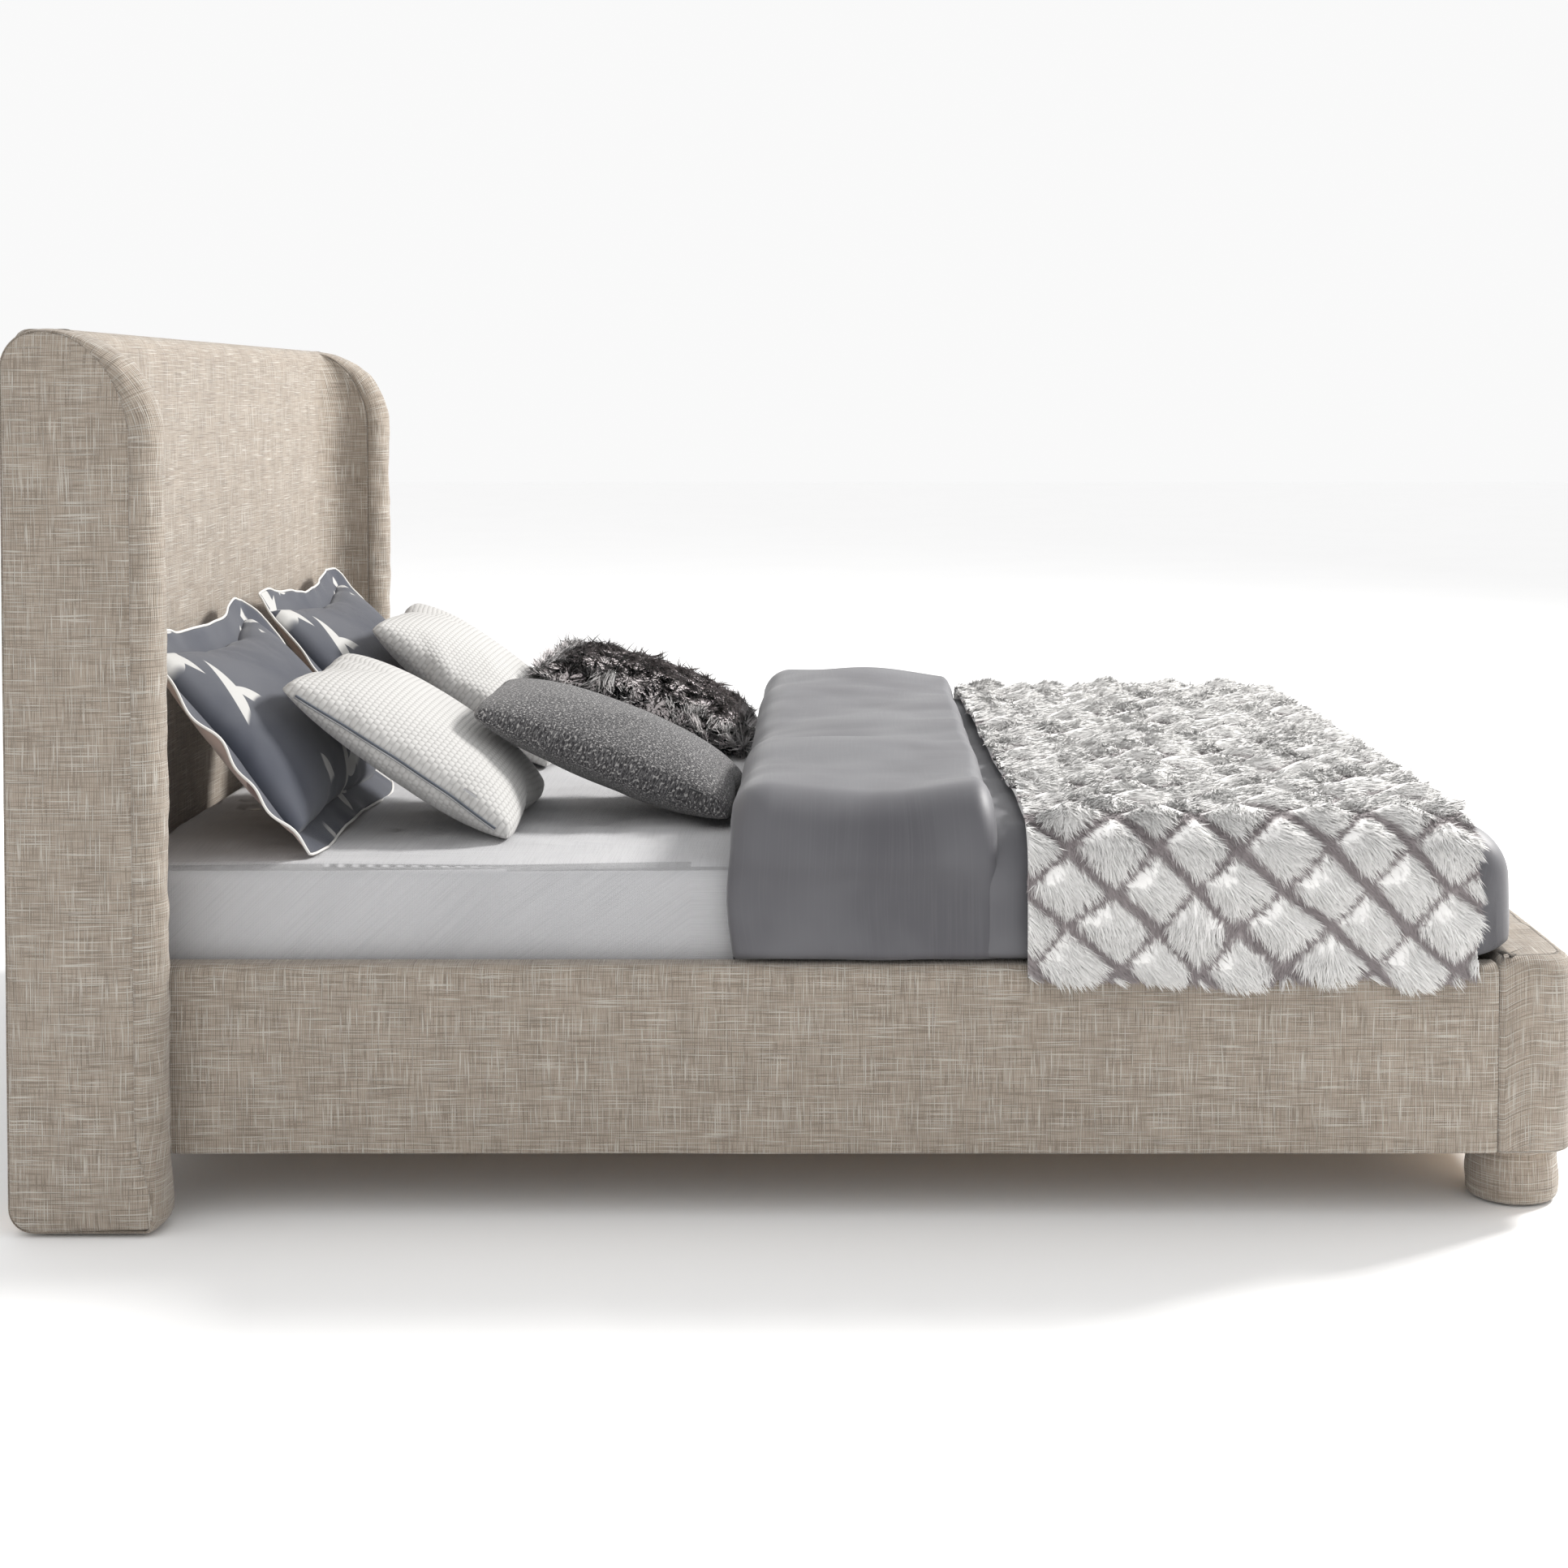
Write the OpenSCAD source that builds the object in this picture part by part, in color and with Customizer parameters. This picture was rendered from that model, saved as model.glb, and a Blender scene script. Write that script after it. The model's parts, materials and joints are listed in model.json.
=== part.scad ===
// Wing-headboard upholstered bed with its bedding, in millimetres.
// X is the width, the head is at +Y, Z is up, and the origin is on the floor under the middle.

/* [Mattress] */
// Width of the mattress
mattress_w = 1520; // [900:10:1930]
// Length of the mattress
mattress_l = 2030; // [1880:10:2130]
// Thickness of the mattress
mattress_h = 264; // [160:1:400]
// Plan radius of the mattress corners
mattress_r = 45; // [20:1:90]
// Thickness of the fitted sheet
sheet_t = 2; // [1:0.5:4]
// Space between the sheet and each side rail
side_gap = 5; // [3:1:30]
// Space between the mattress and the headboard
head_gap = 15; // [5:1:40]
// Space between the mattress and the footboard
foot_gap = 47.5; // [30:0.5:90]

/* [Headboard] */
// Height of the headboard
headboard_h = 1320; // [900:10:1600]
// Thickness of each wing
wing_t = 84; // [64:1:120]
// How far a wing stands in front of the centre panel
wing_reach = 135; // [130:1:220]
// Radius of the wing's top front corner
wing_top_r = 165; // [80:1:165]
// Radius of the wing's rear corners
wing_rear_r = 60; // [20:1:60]
// Radius of the hollow between panel and wing
hollow_r = 100; // [60:1:110]
// Thickness of the pad in front of the plywood
panel_pad_t = 56; // [30:1:90]
// Thickness of the foam over the timber at the top and front of the wings
edge_pad_t = 32; // [20:1:45]
// Width of each headboard post
post_w = 70; // [50:1:100]
// Height of the headboard's bottom rail
head_rail_h = 190; // [120:1:240]
// Height of each batten
batten_h = 60; // [40:1:90]

/* [Side rails] */
// Height of the underside of the rails
rail_z = 96; // [60:1:180]
// Height of a padded rail
rail_h = 282; // [240:1:360]
// Thickness of the rail board
rail_core_t = 25; // [18:1:40]
// Thickness of the outer pad
rail_pad_t = 20; // [10:1:40]
// Thickness of the pad over the rail board
rail_top_pad = 12; // [6:1:30]
// Thickness of the cover inside and below
wrap_t = 3; // [2:0.5:6]

/* [Footboard and legs] */
// Thickness of the footboard
footboard_t = 123.5; // [90:0.5:180]
// Height of the footboard's top
footboard_top = 390; // [370:1:480]
// Plan radius of the footboard's outer corners
footboard_r = 60; // [20:1:80]
// Radius of an upholstered leg
leg_r = 69; // [45:1:80]
// Thickness of the leg's padded sleeve
leg_pad_t = 9; // [4:1:16]
// Distance from a leg's centre to the rail's outer face
leg_inset = 111; // [80:1:180]

/* [Mattress support] */
// Number of slats
slat_count = 14; // [8:1:18]
// Width of a slat
slat_w = 68; // [50:1:90]
// Thickness of a slat
slat_t = 20; // [15:1:28]
// Height of the slats' top face
slat_top = 250; // [230:1:300]
// Width of a slat ledger
ledger_w = 30; // [20:1:45]
// Height of a slat ledger
ledger_h = 60; // [30:1:80]
// Width of the centre beam
beam_w = 50; // [40:1:80]
// Height of the centre beam
beam_h = 40; // [30:1:70]
// Number of centre legs
centre_legs = 3; // [3:1:3]
// Radius of a leveller's disc
leveller_r = 20; // [14:1:24]

/* [Bedding] */
// Thickness of the duvet on the mattress
duvet_t = 65; // [30:1:90]
// How far the turned-back band stands above the flat duvet
band_rise = 53; // [20:1:90]
// Length of the turned-back band
band_l = 402; // [250:1:600]
// Distance from the mattress's head end to the turned-back band
band_start = 935; // [800:5:1100]
// Thickness of the throw
throw_t = 44; // [20:1:70]
// Length of the throw along the bed
throw_l = 700; // [400:10:740]
// How far the throw hangs below the rail's top
throw_hang = 42; // [0:1:120]
// Width of a sham with its flange
sham_w = 700; // [500:10:740]
// Height of a sham with its flange
sham_h = 460; // [400:5:480]
// Thickness of a sham
sham_t = 126; // [60:1:140]
// Width of a quilted pillow
quilted_w = 450; // [300:5:480]
// Height of a quilted pillow
quilted_h = 430; // [300:5:440]
// Thickness of a quilted pillow
quilted_t = 136; // [60:1:150]

/* [Hidden] */
$fn = 64;
hull_fn = 32;
eps = 0.01;
clear = 0.5;

// colours
cloth = "#cbbca6";
timber = "#c9a36f";
ply = "#d8b988";
steel = "#3b3c3e";
nylon = "#2a2a2a";

// across the bed
rail_in = mattress_w / 2 + sheet_t + side_gap;
rail_core_in = rail_in + wrap_t;
rail_core_out = rail_core_in + rail_core_t;
rail_out = rail_core_out + rail_pad_t;
wing_in = rail_out + 1;
wing_out = wing_in + wing_t;
split_x = wing_in - hollow_r;
wing_core_t = 26;
wing_core_x = wing_in + 20;

// along the bed
back_cover_t = 3;
batten_t = 27;
ply_t = 9;
panel_t = back_cover_t + batten_t + ply_t + panel_pad_t;
inner_l = head_gap + mattress_l + foot_gap;
overall_l = panel_t + inner_l + footboard_t;
y_back = overall_l / 2;
y_board = y_back - back_cover_t;
y_ply = y_board - batten_t - ply_t;
y_panel = y_back - panel_t;
y_wing = y_panel - wing_reach;
y_foot_in = y_panel - inner_l;
y_foot = -y_back;
mattress_head = y_panel - head_gap;
mattress_foot = mattress_head - mattress_l;

// heights
rail_top = rail_z + rail_h;
board_top = headboard_h - edge_pad_t;
panel_z = rail_z + 4;
glide_h = 6;
glide_r = 12;
skirt_z = 3;
mattress_z = slat_top + clear;
mattress_top = mattress_z + mattress_h;
sheet_top = mattress_top + sheet_t;

// fixings
bolt_r = 4;
bolt_clear = 0.05;
bolt_head_r = 7;
bolt_head_h = 5;
insert_r = 6;
insert_l = 15;
screw_r = 2.5;
bracket_t = 3;
bracket_l = 70;
bracket_z = rail_z + 24;
bracket_h = 166;
bracket_bolt_x = rail_core_in - 35;
bracket_bolt_z = [bracket_z + 40, bracket_z + 126];

// footboard
foot_pocket_out = 25;
foot_pocket_in = 15;
foot_pocket_top = 25;
y_fpl_out = y_foot + foot_pocket_out;
y_fpl_in = y_foot_in - foot_pocket_in;
foot_core_x = rail_out - 20;
foot_block_w = 150;
foot_core_top = footboard_top - foot_pocket_top;
foot_core_z = rail_z;
foot_rail_h = 50;
leg_x = rail_out - leg_inset;
leg_y = y_foot + leg_r + 3.5;
leg_glide_r = 20;

// support
ledger_top = slat_top - slat_t;
ledger_z = ledger_top - ledger_h;
slat_half = rail_core_in - 6;
slat_first = y_foot_in + 60;
slat_last = y_panel - 60;
slat_pitch = (slat_last - slat_first) / (slat_count - 1);
beam_z = ledger_top - beam_h;
shoe_t = 3;
shoe_seat = 40;
centre_leg_w = 50;
leveller_h = 8;
leveller_gap = 0.3;
leveller_stud = 40;
centre_leg_z = leveller_h + leveller_gap;
centre_leg_y = [for (i = [-1, 0, 1]) (y_panel + y_foot_in) / 2 - i * inner_l / 3.3];
webbing_w = 25;
webbing_t = 2;

// bedding
duvet_gap = 1.5;
duvet_out = rail_out - 7;
duvet_z = sheet_top + duvet_gap;
duvet_top = sheet_top + duvet_t;
band_top = duvet_top + band_rise;
duvet_foot = mattress_foot - 85;
duvet_r = 60;
throw_gap = 1.5;
throw_out = rail_out + 23;
throw_top = duvet_top + throw_t;
throw_r = 75;
throw_z = rail_top - throw_hang;
flange_t = 12;
sham_lean = 51;
quilted_lean = 33.7;
quilted_far_lean = 38;
tweed_lean = 22;
wool_lean = 20;
tweed_w = 370;
tweed_h = 450;
tweed_t = 126;
wool_w = 460;
wool_h = 460;
wool_t = 150;
pillow_edge = 50;
lean_gap = 28;
lean_gap_far = 37;
lean_gap_wool = 19;
lean_gap_tweed = 24;

// Height of the lower edge of a cushion that leans by the angle on the sheet
function edge_z(angle, t) = sheet_top + clear + flange_t / 2 + t * cos(angle) * 0.28;

// Place along the bed of a cushion (angle, t, h) that leans on one (angle, t) with its edge at y
function leaning_y(y, a0, t0, a1, t1, h1, gap) = y - h1 * cos(a1)
    - ((t0 + flange_t) / 2 + gap
        - cos(a0) * (edge_z(a1, t1) - edge_z(a0, t0) + h1 * sin(a1))) / sin(a0);

sham_x = rail_in - 32 - sham_w / 2;
sham_y = mattress_head - 305;
quilted_x = rail_in - 177 - quilted_w / 2;
quilted_far_x = rail_in - 172 - quilted_w / 2;
quilted_y = leaning_y(sham_y, sham_lean, sham_t, quilted_lean, quilted_t, quilted_h, lean_gap);
quilted_far_y = leaning_y(sham_y, sham_lean, sham_t, quilted_far_lean, quilted_t, quilted_h,
    lean_gap_far);
tweed_x = rail_in - 310 - tweed_w / 2;
tweed_y = leaning_y(quilted_y, quilted_lean, quilted_t, tweed_lean, tweed_t, tweed_h,
    lean_gap_tweed);
wool_x = rail_in - 37 - wool_w / 2;
wool_y = leaning_y(quilted_far_y, quilted_far_lean, quilted_t, wool_lean, wool_t, wool_h,
    lean_gap_wool);
pull_w = 8;
pull_l = 24;
pull_t = 3;
band_head = min(mattress_head - band_start, tweed_y - 5, wool_y - 5);
band_foot = band_head - band_l;
throw_head = band_foot - 8;
throw_foot = throw_head - throw_l;

// ---------- shared shapes ----------

// Rectangle with round corners, centred
module round_rect(w, l, r) {
    square([w - 2 * r, l], center = true);
    square([w, l - 2 * r], center = true);
    for (x = [-1, 1], y = [-1, 1])
        translate([x * (w / 2 - r), y * (l / 2 - r)]) circle(r);
}

// Quarter disc of radius r about c, towards the side that dir points to
module quarter_disc(c, r, dir) {
    intersection() {
        translate(c) circle(r);
        translate([c.x + min(dir.x, 0) * r, c.y + min(dir.y, 0) * r]) square(r);
    }
}

// Rectangle from a to b with one radius for each corner: low front, low rear, top rear, top front
module corner_rect(a, b, r) {
    quarter_disc([a.x + r[0], a.y + r[0]], r[0], [-1, -1]);
    quarter_disc([b.x - r[1], a.y + r[1]], r[1], [1, -1]);
    quarter_disc([b.x - r[2], b.y - r[2]], r[2], [1, 1]);
    quarter_disc([a.x + r[3], b.y - r[3]], r[3], [-1, 1]);
    polygon([[a.x + r[0], a.y], [b.x - r[1], a.y], [b.x, a.y + r[1]], [b.x, b.y - r[2]],
        [b.x - r[2], b.y], [a.x + r[3], b.y], [a.x, b.y - r[3]], [a.x, a.y + r[0]]]);
}

// Box from corner a to corner b
module block(a, b) {
    translate(a) cube(b - a);
}

// Turns an outline in Y and Z into a solid from x0 to x1
module along_x(x0, x1) {
    translate([x0, 0, 0]) rotate([90, 0, 90]) linear_extrude(x1 - x0) children();
}

// Turns an outline in X and Z into a solid from y0 to y1
module along_y(y0, y1) {
    translate([0, y1, 0]) rotate([90, 0, 0]) linear_extrude(y1 - y0) children();
}

// Rod along Y from y0 to y1
module rod_y(x, z, r, y0, y1) {
    translate([x, y0, z]) rotate([-90, 0, 0]) cylinder(r = r, h = y1 - y0);
}

// The right-hand child as it is, the left-hand one mirrored
module on_side(left) {
    if (left) mirror([1, 0, 0]) children();
    else children();
}

// ---------- headboard ----------

module wing_side_outline() {
    corner_rect([y_wing, skirt_z], [y_back, headboard_h], [28, 40, wing_rear_r, wing_top_r]);
}

module wing_plan_outline() {
    nose = wing_t / 2;
    translate([wing_in + nose, y_wing + nose]) circle(nose);
    translate([wing_in, y_wing + nose]) square([wing_t, y_back - y_wing - nose]);
    translate([split_x, y_panel]) square([hollow_r + eps, y_back - y_panel]);
    difference() {
        translate([split_x, y_panel - hollow_r]) square([hollow_r + eps, hollow_r + eps]);
        translate([split_x, y_panel - hollow_r]) circle(hollow_r);
    }
}

// Room in the pads for the plywood, posts, battens and back cover
module board_pocket() {
    block([-wing_core_x, y_ply, -eps], [wing_core_x, y_back + eps, board_top]);
}

module wing_core_outline() {
    corner_rect([y_wing + edge_pad_t, glide_h], [y_back - 5, board_top],
        [10, 15, wing_rear_r - 20, wing_top_r - edge_pad_t]);
}

module wing_pad() {
    color(cloth) difference() {
        intersection() {
            translate([0, 0, skirt_z]) linear_extrude(headboard_h) wing_plan_outline();
            along_x(split_x - 1, wing_out + 1) wing_side_outline();
        }
        board_pocket();
        along_x(wing_core_x, wing_core_x + wing_core_t) {
            wing_core_outline();
            translate([y_wing + edge_pad_t + 10, 0])
                square([y_back - y_wing - edge_pad_t - 30, glide_h + 20]);
        }
        block([split_x - 1, y_wing - 1, -1], [wing_in, y_panel, rail_top + 7]);
        block([split_x - 1, y_panel - 1, -1], [wing_in, y_back + 1, panel_z]);
        for (z = bracket_bolt_z)
            rod_y(bracket_bolt_x, z, bolt_r + bolt_clear, y_panel - 1, y_ply + 1);
    }
}

module headboard_pad() {
    color(cloth) difference() {
        along_x(-split_x, split_x)
            corner_rect([y_panel, panel_z], [y_back, headboard_h], [4, 4, 20, 28]);
        board_pocket();
    }
}

module headboard_plywood() {
    color(ply) difference() {
        block([-wing_core_x, y_ply, panel_z], [wing_core_x, y_ply + ply_t, board_top]);
        for (x = [-bracket_bolt_x, bracket_bolt_x], z = bracket_bolt_z)
            rod_y(x, z, bolt_r + bolt_clear, y_ply - 1, y_ply + ply_t + 1);
    }
}

module wing_bolt_holes(r) {
    for (x = [-1, 1], z = [headboard_h * 0.25, headboard_h * 0.55, headboard_h * 0.85])
        translate([x * (wing_core_x - post_w / 2), y_board - batten_t / 2, z])
            rotate([0, x * 90, 0]) cylinder(r = r, h = post_w / 2 + wing_core_t * 0.6);
}

module headboard_posts() {
    color(timber) difference() {
        for (x = [-wing_core_x, wing_core_x - post_w])
            block([x, y_board - batten_t, glide_h + 14], [x + post_w, y_board, board_top]);
        wing_bolt_holes(bolt_r);
    }
}

module headboard_battens() {
    half = wing_core_x - post_w;
    color(timber) for (z = [headboard_h * 0.5, board_top - batten_h])
        block([-half, y_board - batten_t, z], [half, y_board, z + batten_h]);
}

module headboard_bottom_rail() {
    half = wing_core_x - post_w;
    color(timber) difference() {
        block([-half, y_board - batten_t, panel_z], [half, y_board, panel_z + head_rail_h]);
        for (x = [-bracket_bolt_x, bracket_bolt_x], z = bracket_bolt_z)
            rod_y(x, z, insert_r, y_board - batten_t - eps, y_board - batten_t + insert_l);
    }
}

module headboard_back_cover() {
    color("#8f8576")
        block([-wing_core_x, y_board, panel_z], [wing_core_x, y_back, board_top]);
}

module wing_core() {
    color(timber) difference() {
        along_x(wing_core_x, wing_core_x + wing_core_t) wing_core_outline();
        wing_bolt_holes(bolt_r);
    }
}

module wing_bolts() {
    color(steel) wing_bolt_holes(bolt_r);
}

module headboard_glides() {
    color(nylon) for (x = [-1, 1], y = [y_wing + 70, y_back - 50])
        translate([x * (wing_core_x + wing_core_t / 2), y, 0])
            cylinder(r = glide_r, h = glide_h);
}

// ---------- side rails ----------

module rail_board() {
    color(timber)
        block([rail_core_in, y_foot_in, rail_z + wrap_t], [rail_core_out, y_panel,
            rail_top - rail_top_pad]);
}

module rail_cover() {
    lip = 70;
    hem = 16;
    color(cloth) along_y(y_foot_in, y_panel) difference() {
        corner_rect([rail_in, rail_z], [rail_out, rail_top], [1, 8, 14, 2]);
        translate([rail_core_in, rail_z + wrap_t])
            square([rail_core_t, rail_h - wrap_t - rail_top_pad]);
        translate([rail_in - 1, rail_z - 1]) square([1 + wrap_t, rail_h - lip + 1]);
        translate([rail_in - 1, rail_z - 1])
            square([1 + wrap_t + rail_core_t - hem, wrap_t + 1]);
    }
}

ledger_ends = [y_foot_in + bracket_l + 5, y_panel - bracket_l - 5];
ledger_screw_y = [for (i = [0 : 5])
    ledger_ends[0] + 60 + i * (ledger_ends[1] - ledger_ends[0] - 120) / 5];

module ledger_screw_rods(r) {
    for (y = ledger_screw_y)
        translate([rail_core_in - ledger_w, y, ledger_z + ledger_h / 2])
            rotate([0, 90, 0]) cylinder(r = r, h = ledger_w + rail_core_t * 0.7);
}

module slat_ledger() {
    color(timber) difference() {
        block([rail_core_in - ledger_w, ledger_ends[0], ledger_z],
            [rail_core_in, ledger_ends[1], ledger_top]);
        ledger_screw_rods(screw_r);
    }
}

module drilled_rail_board() {
    difference() {
        rail_board();
        ledger_screw_rods(screw_r);
    }
}

module ledger_screws() {
    color(steel) for (left = [false, true]) on_side(left) ledger_screw_rods(screw_r);
}

// Bent plate: one flange on the rail board, one on the face at y, towards -Y if dir is 1
module bracket(y, dir) {
    x0 = rail_core_in - bracket_l;
    color(steel) difference() {
        union() {
            block([rail_core_in - bracket_t, min(y, y - dir * bracket_l), bracket_z],
                [rail_core_in, max(y, y - dir * bracket_l), bracket_z + bracket_h]);
            block([x0, min(y, y - dir * bracket_t), bracket_z],
                [rail_core_in, max(y, y - dir * bracket_t), bracket_z + bracket_h]);
        }
        for (z = bracket_bolt_z) rod_y(bracket_bolt_x, z, bolt_r + bolt_clear, y - 5, y + 5);
    }
}

module head_brackets() {
    for (left = [false, true]) on_side(left) bracket(y_panel, 1);
}

module foot_brackets() {
    for (left = [false, true]) on_side(left) bracket(y_foot_in, -1);
}

module head_bracket_bolts() {
    y_head = y_panel - bracket_t;
    y_tip = y_board - batten_t + insert_l;
    color(steel) for (left = [false, true], z = bracket_bolt_z) on_side(left) {
        rod_y(bracket_bolt_x, z, bolt_head_r, y_head - bolt_head_h, y_head);
        rod_y(bracket_bolt_x, z, bolt_r, y_head - eps, y_tip);
    }
}

module foot_bracket_bolts() {
    y_head = y_foot_in + bracket_t;
    y_tip = y_fpl_in - ply_t - insert_l;
    color(steel) for (left = [false, true], z = bracket_bolt_z) on_side(left) {
        rod_y(bracket_bolt_x, z, bolt_head_r, y_head, y_head + bolt_head_h);
        rod_y(bracket_bolt_x, z, bolt_r, y_tip, y_head + eps);
    }
}

module insert(y) {
    for (left = [false, true], z = bracket_bolt_z) on_side(left) difference() {
        rod_y(bracket_bolt_x, z, insert_r, y, y + insert_l);
        rod_y(bracket_bolt_x, z, bolt_r + bolt_clear, y - 1, y + insert_l + 1);
    }
}

module bracket_inserts() {
    color("#b5a05c") {
        insert(y_board - batten_t);
        insert(y_fpl_in - ply_t - insert_l);
    }
}

// ---------- footboard ----------

module footboard_bolt_holes(r, y0, y1) {
    for (x = [-bracket_bolt_x, bracket_bolt_x], z = bracket_bolt_z) rod_y(x, z, r, y0, y1);
}

module footboard_cover() {
    color(cloth) difference() {
        translate([0, 0, rail_z]) linear_extrude(footboard_top - rail_z) union() {
            translate([0, (y_foot + y_foot_in) / 2]) round_rect(2 * rail_out, footboard_t,
                footboard_r);
            translate([-rail_out, y_foot + footboard_r])
                square([2 * rail_out, footboard_t - footboard_r]);
        }
        block([-foot_core_x, y_fpl_out, rail_z - 1], [foot_core_x, y_fpl_in, foot_core_top]);
        footboard_bolt_holes(bolt_r + bolt_clear, y_fpl_in - 1, y_foot_in + 1);
    }
}

module footboard_plywood() {
    color(ply) {
        block([-foot_core_x, y_fpl_out, foot_core_z], [foot_core_x, y_fpl_out + ply_t,
            foot_core_top]);
        difference() {
            block([-foot_core_x, y_fpl_in - ply_t, foot_core_z], [foot_core_x, y_fpl_in,
                foot_core_top]);
            footboard_bolt_holes(bolt_r + bolt_clear, y_fpl_in - ply_t - 1, y_fpl_in + 1);
        }
    }
}

module footboard_rails() {
    half = foot_core_x - foot_block_w;
    color(timber) for (z = [foot_core_z, foot_core_top - foot_rail_h])
        block([-half, y_fpl_out + ply_t, z], [half, y_fpl_in - ply_t, z + foot_rail_h]);
}

module leg_bolt_rods(r) {
    for (x = [-leg_x, leg_x]) translate([x, leg_y, rail_z - 46]) cylinder(r = r, h = 100);
}

module footboard_blocks() {
    color(timber) difference() {
        for (x = [-foot_core_x, foot_core_x - foot_block_w])
            block([x, y_fpl_out + ply_t, foot_core_z], [x + foot_block_w, y_fpl_in - ply_t,
                foot_core_top]);
        footboard_bolt_holes(insert_r, y_fpl_in - ply_t - insert_l, y_fpl_in);
        leg_bolt_rods(bolt_r);
    }
}

module leg_core() {
    color(timber) difference() {
        translate([leg_x, leg_y, glide_h])
            cylinder(r = leg_r - leg_pad_t, h = foot_core_z - glide_h);
        leg_bolt_rods(bolt_r);
    }
}

module leg_sleeve() {
    color(cloth) translate([leg_x, leg_y, skirt_z]) difference() {
        cylinder(r = leg_r, h = rail_z - skirt_z);
        translate([0, 0, -1]) cylinder(r = leg_r - leg_pad_t, h = rail_z + 2);
    }
}

module leg_bolts() {
    color(steel) leg_bolt_rods(bolt_r);
}

module leg_glides() {
    color(nylon) for (x = [-leg_x, leg_x]) translate([x, leg_y, 0])
        cylinder(r = leg_glide_r, h = glide_h);
}

// ---------- mattress support ----------

module centre_bolt_rods(r) {
    for (y = centre_leg_y) translate([0, y, beam_z - 45]) cylinder(r = r, h = 45 + beam_h * 0.7);
}

module centre_beam() {
    color(timber) difference() {
        block([-beam_w / 2, y_foot_in + shoe_t, beam_z], [beam_w / 2, y_panel - shoe_t,
            ledger_top]);
        centre_bolt_rods(bolt_r);
    }
}

module beam_shoe(y, dir) {
    half = beam_w / 2 + 12;
    block([-half, min(y, y - dir * shoe_t), beam_z - shoe_t],
        [half, max(y, y - dir * shoe_t), ledger_top]);
    block([-half, min(y, y - dir * shoe_seat), beam_z - shoe_t],
        [half, max(y, y - dir * shoe_seat), beam_z]);
}

module beam_shoes() {
    color(steel) {
        beam_shoe(y_panel, 1);
        beam_shoe(y_foot_in, -1);
    }
}

module centre_leg(i) {
    half = centre_leg_w / 2;
    color(timber) difference() {
        translate([0, centre_leg_y[i], 0])
            block([-half, -half, centre_leg_z], [half, half, beam_z]);
        centre_bolt_rods(bolt_r);
        translate([0, centre_leg_y[i], centre_leg_z - 1])
            cylinder(r = bolt_r + bolt_clear, h = leveller_stud + 3);
    }
}

module leveller(i) {
    color(nylon) translate([0, centre_leg_y[i], 0]) {
        cylinder(r = leveller_r, h = leveller_h);
        cylinder(r = bolt_r, h = leveller_h + leveller_stud);
    }
}

module centre_leg_bolts() {
    color(steel) centre_bolt_rods(bolt_r);
}

module slats() {
    color(timber) for (i = [0 : slat_count - 1])
        translate([0, slat_first + i * slat_pitch, ledger_top + slat_t / 2])
            cube([2 * slat_half, slat_w, slat_t], center = true);
}

module slat_webbings() {
    x0 = slat_half - ledger_w - webbing_w - 12;
    color("#d9d5cb") for (x = [-x0 - webbing_w, x0])
        block([x, slat_first - slat_w / 2, ledger_top - webbing_t],
            [x + webbing_w, slat_last + slat_w / 2, ledger_top]);
}

// ---------- bedding ----------

module mattress_plan(grow) {
    translate([0, mattress_head - mattress_l / 2])
        round_rect(mattress_w + 2 * grow, mattress_l + 2 * grow, mattress_r + grow);
}

module mattress() {
    color("#ece8e0") translate([0, 0, mattress_z]) linear_extrude(mattress_h) mattress_plan(0);
}

module fitted_sheet() {
    color("#c9cacc") difference() {
        translate([0, 0, mattress_z]) linear_extrude(mattress_h + sheet_t)
            mattress_plan(sheet_t);
        translate([0, 0, mattress_z - 1]) linear_extrude(mattress_h + 1) mattress_plan(0);
    }
}

module quilt_outline(top) {
    corner_rect([-duvet_out, rail_top + clear], [duvet_out, top], [6, 6, duvet_r, duvet_r]);
}

module duvet() {
    half = mattress_w / 2 + sheet_t + duvet_gap;
    color("#6d6e72") difference() {
        union() {
            along_y(duvet_foot, band_foot + 1) quilt_outline(duvet_top);
            along_y(band_foot, band_head) quilt_outline(band_top);
        }
        block([-half, mattress_foot - sheet_t - duvet_gap, 0], [half, band_head + 1, duvet_z]);
        block([-duvet_out - 1, duvet_foot - 1, 0], [duvet_out + 1, y_foot_in + 1,
            footboard_top + clear]);
    }
}

module fur_throw() {
    color("#d9d3cb") along_y(throw_foot, throw_head) difference() {
        corner_rect([-throw_out, throw_z], [throw_out, throw_top], [6, 6, throw_r, throw_r]);
        corner_rect([-duvet_out - throw_gap, throw_z - 30],
            [duvet_out + throw_gap, duvet_top + throw_gap], [2, 2, duvet_r, duvet_r]);
        translate([-rail_out - throw_gap, 0])
            square([2 * (rail_out + throw_gap), rail_top + 10]);
    }
}

// Crowned cushion with thin edges, centred
module cushion(w, h, t) {
    hull() for (s = [[1, flange_t / t], [0.8, 0.62], [0.5, 1]])
        translate([0, 0, -s[1] * t / 2]) linear_extrude(s[1] * t)
            round_rect(w * s[0], h * s[0], pillow_edge * s[0], $fn = hull_fn);
}

// Puts a cushion of height h with its lower edge at y, leaning back by the angle
module lean(x, y, z, angle, h) {
    translate([x, y, z]) rotate([angle, 0, 0]) translate([0, h / 2, 0]) children();
}

module sham(side) {
    color("#454b59") lean(side * sham_x, sham_y, edge_z(sham_lean, sham_t), sham_lean, sham_h)
        cushion(sham_w, sham_h, sham_t);
}

module quilted_pillow_left() {
    color("#dedbd3") lean(-quilted_x, quilted_y, edge_z(quilted_lean, quilted_t),
        quilted_lean, quilted_h) cushion(quilted_w, quilted_h, quilted_t);
}

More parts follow.
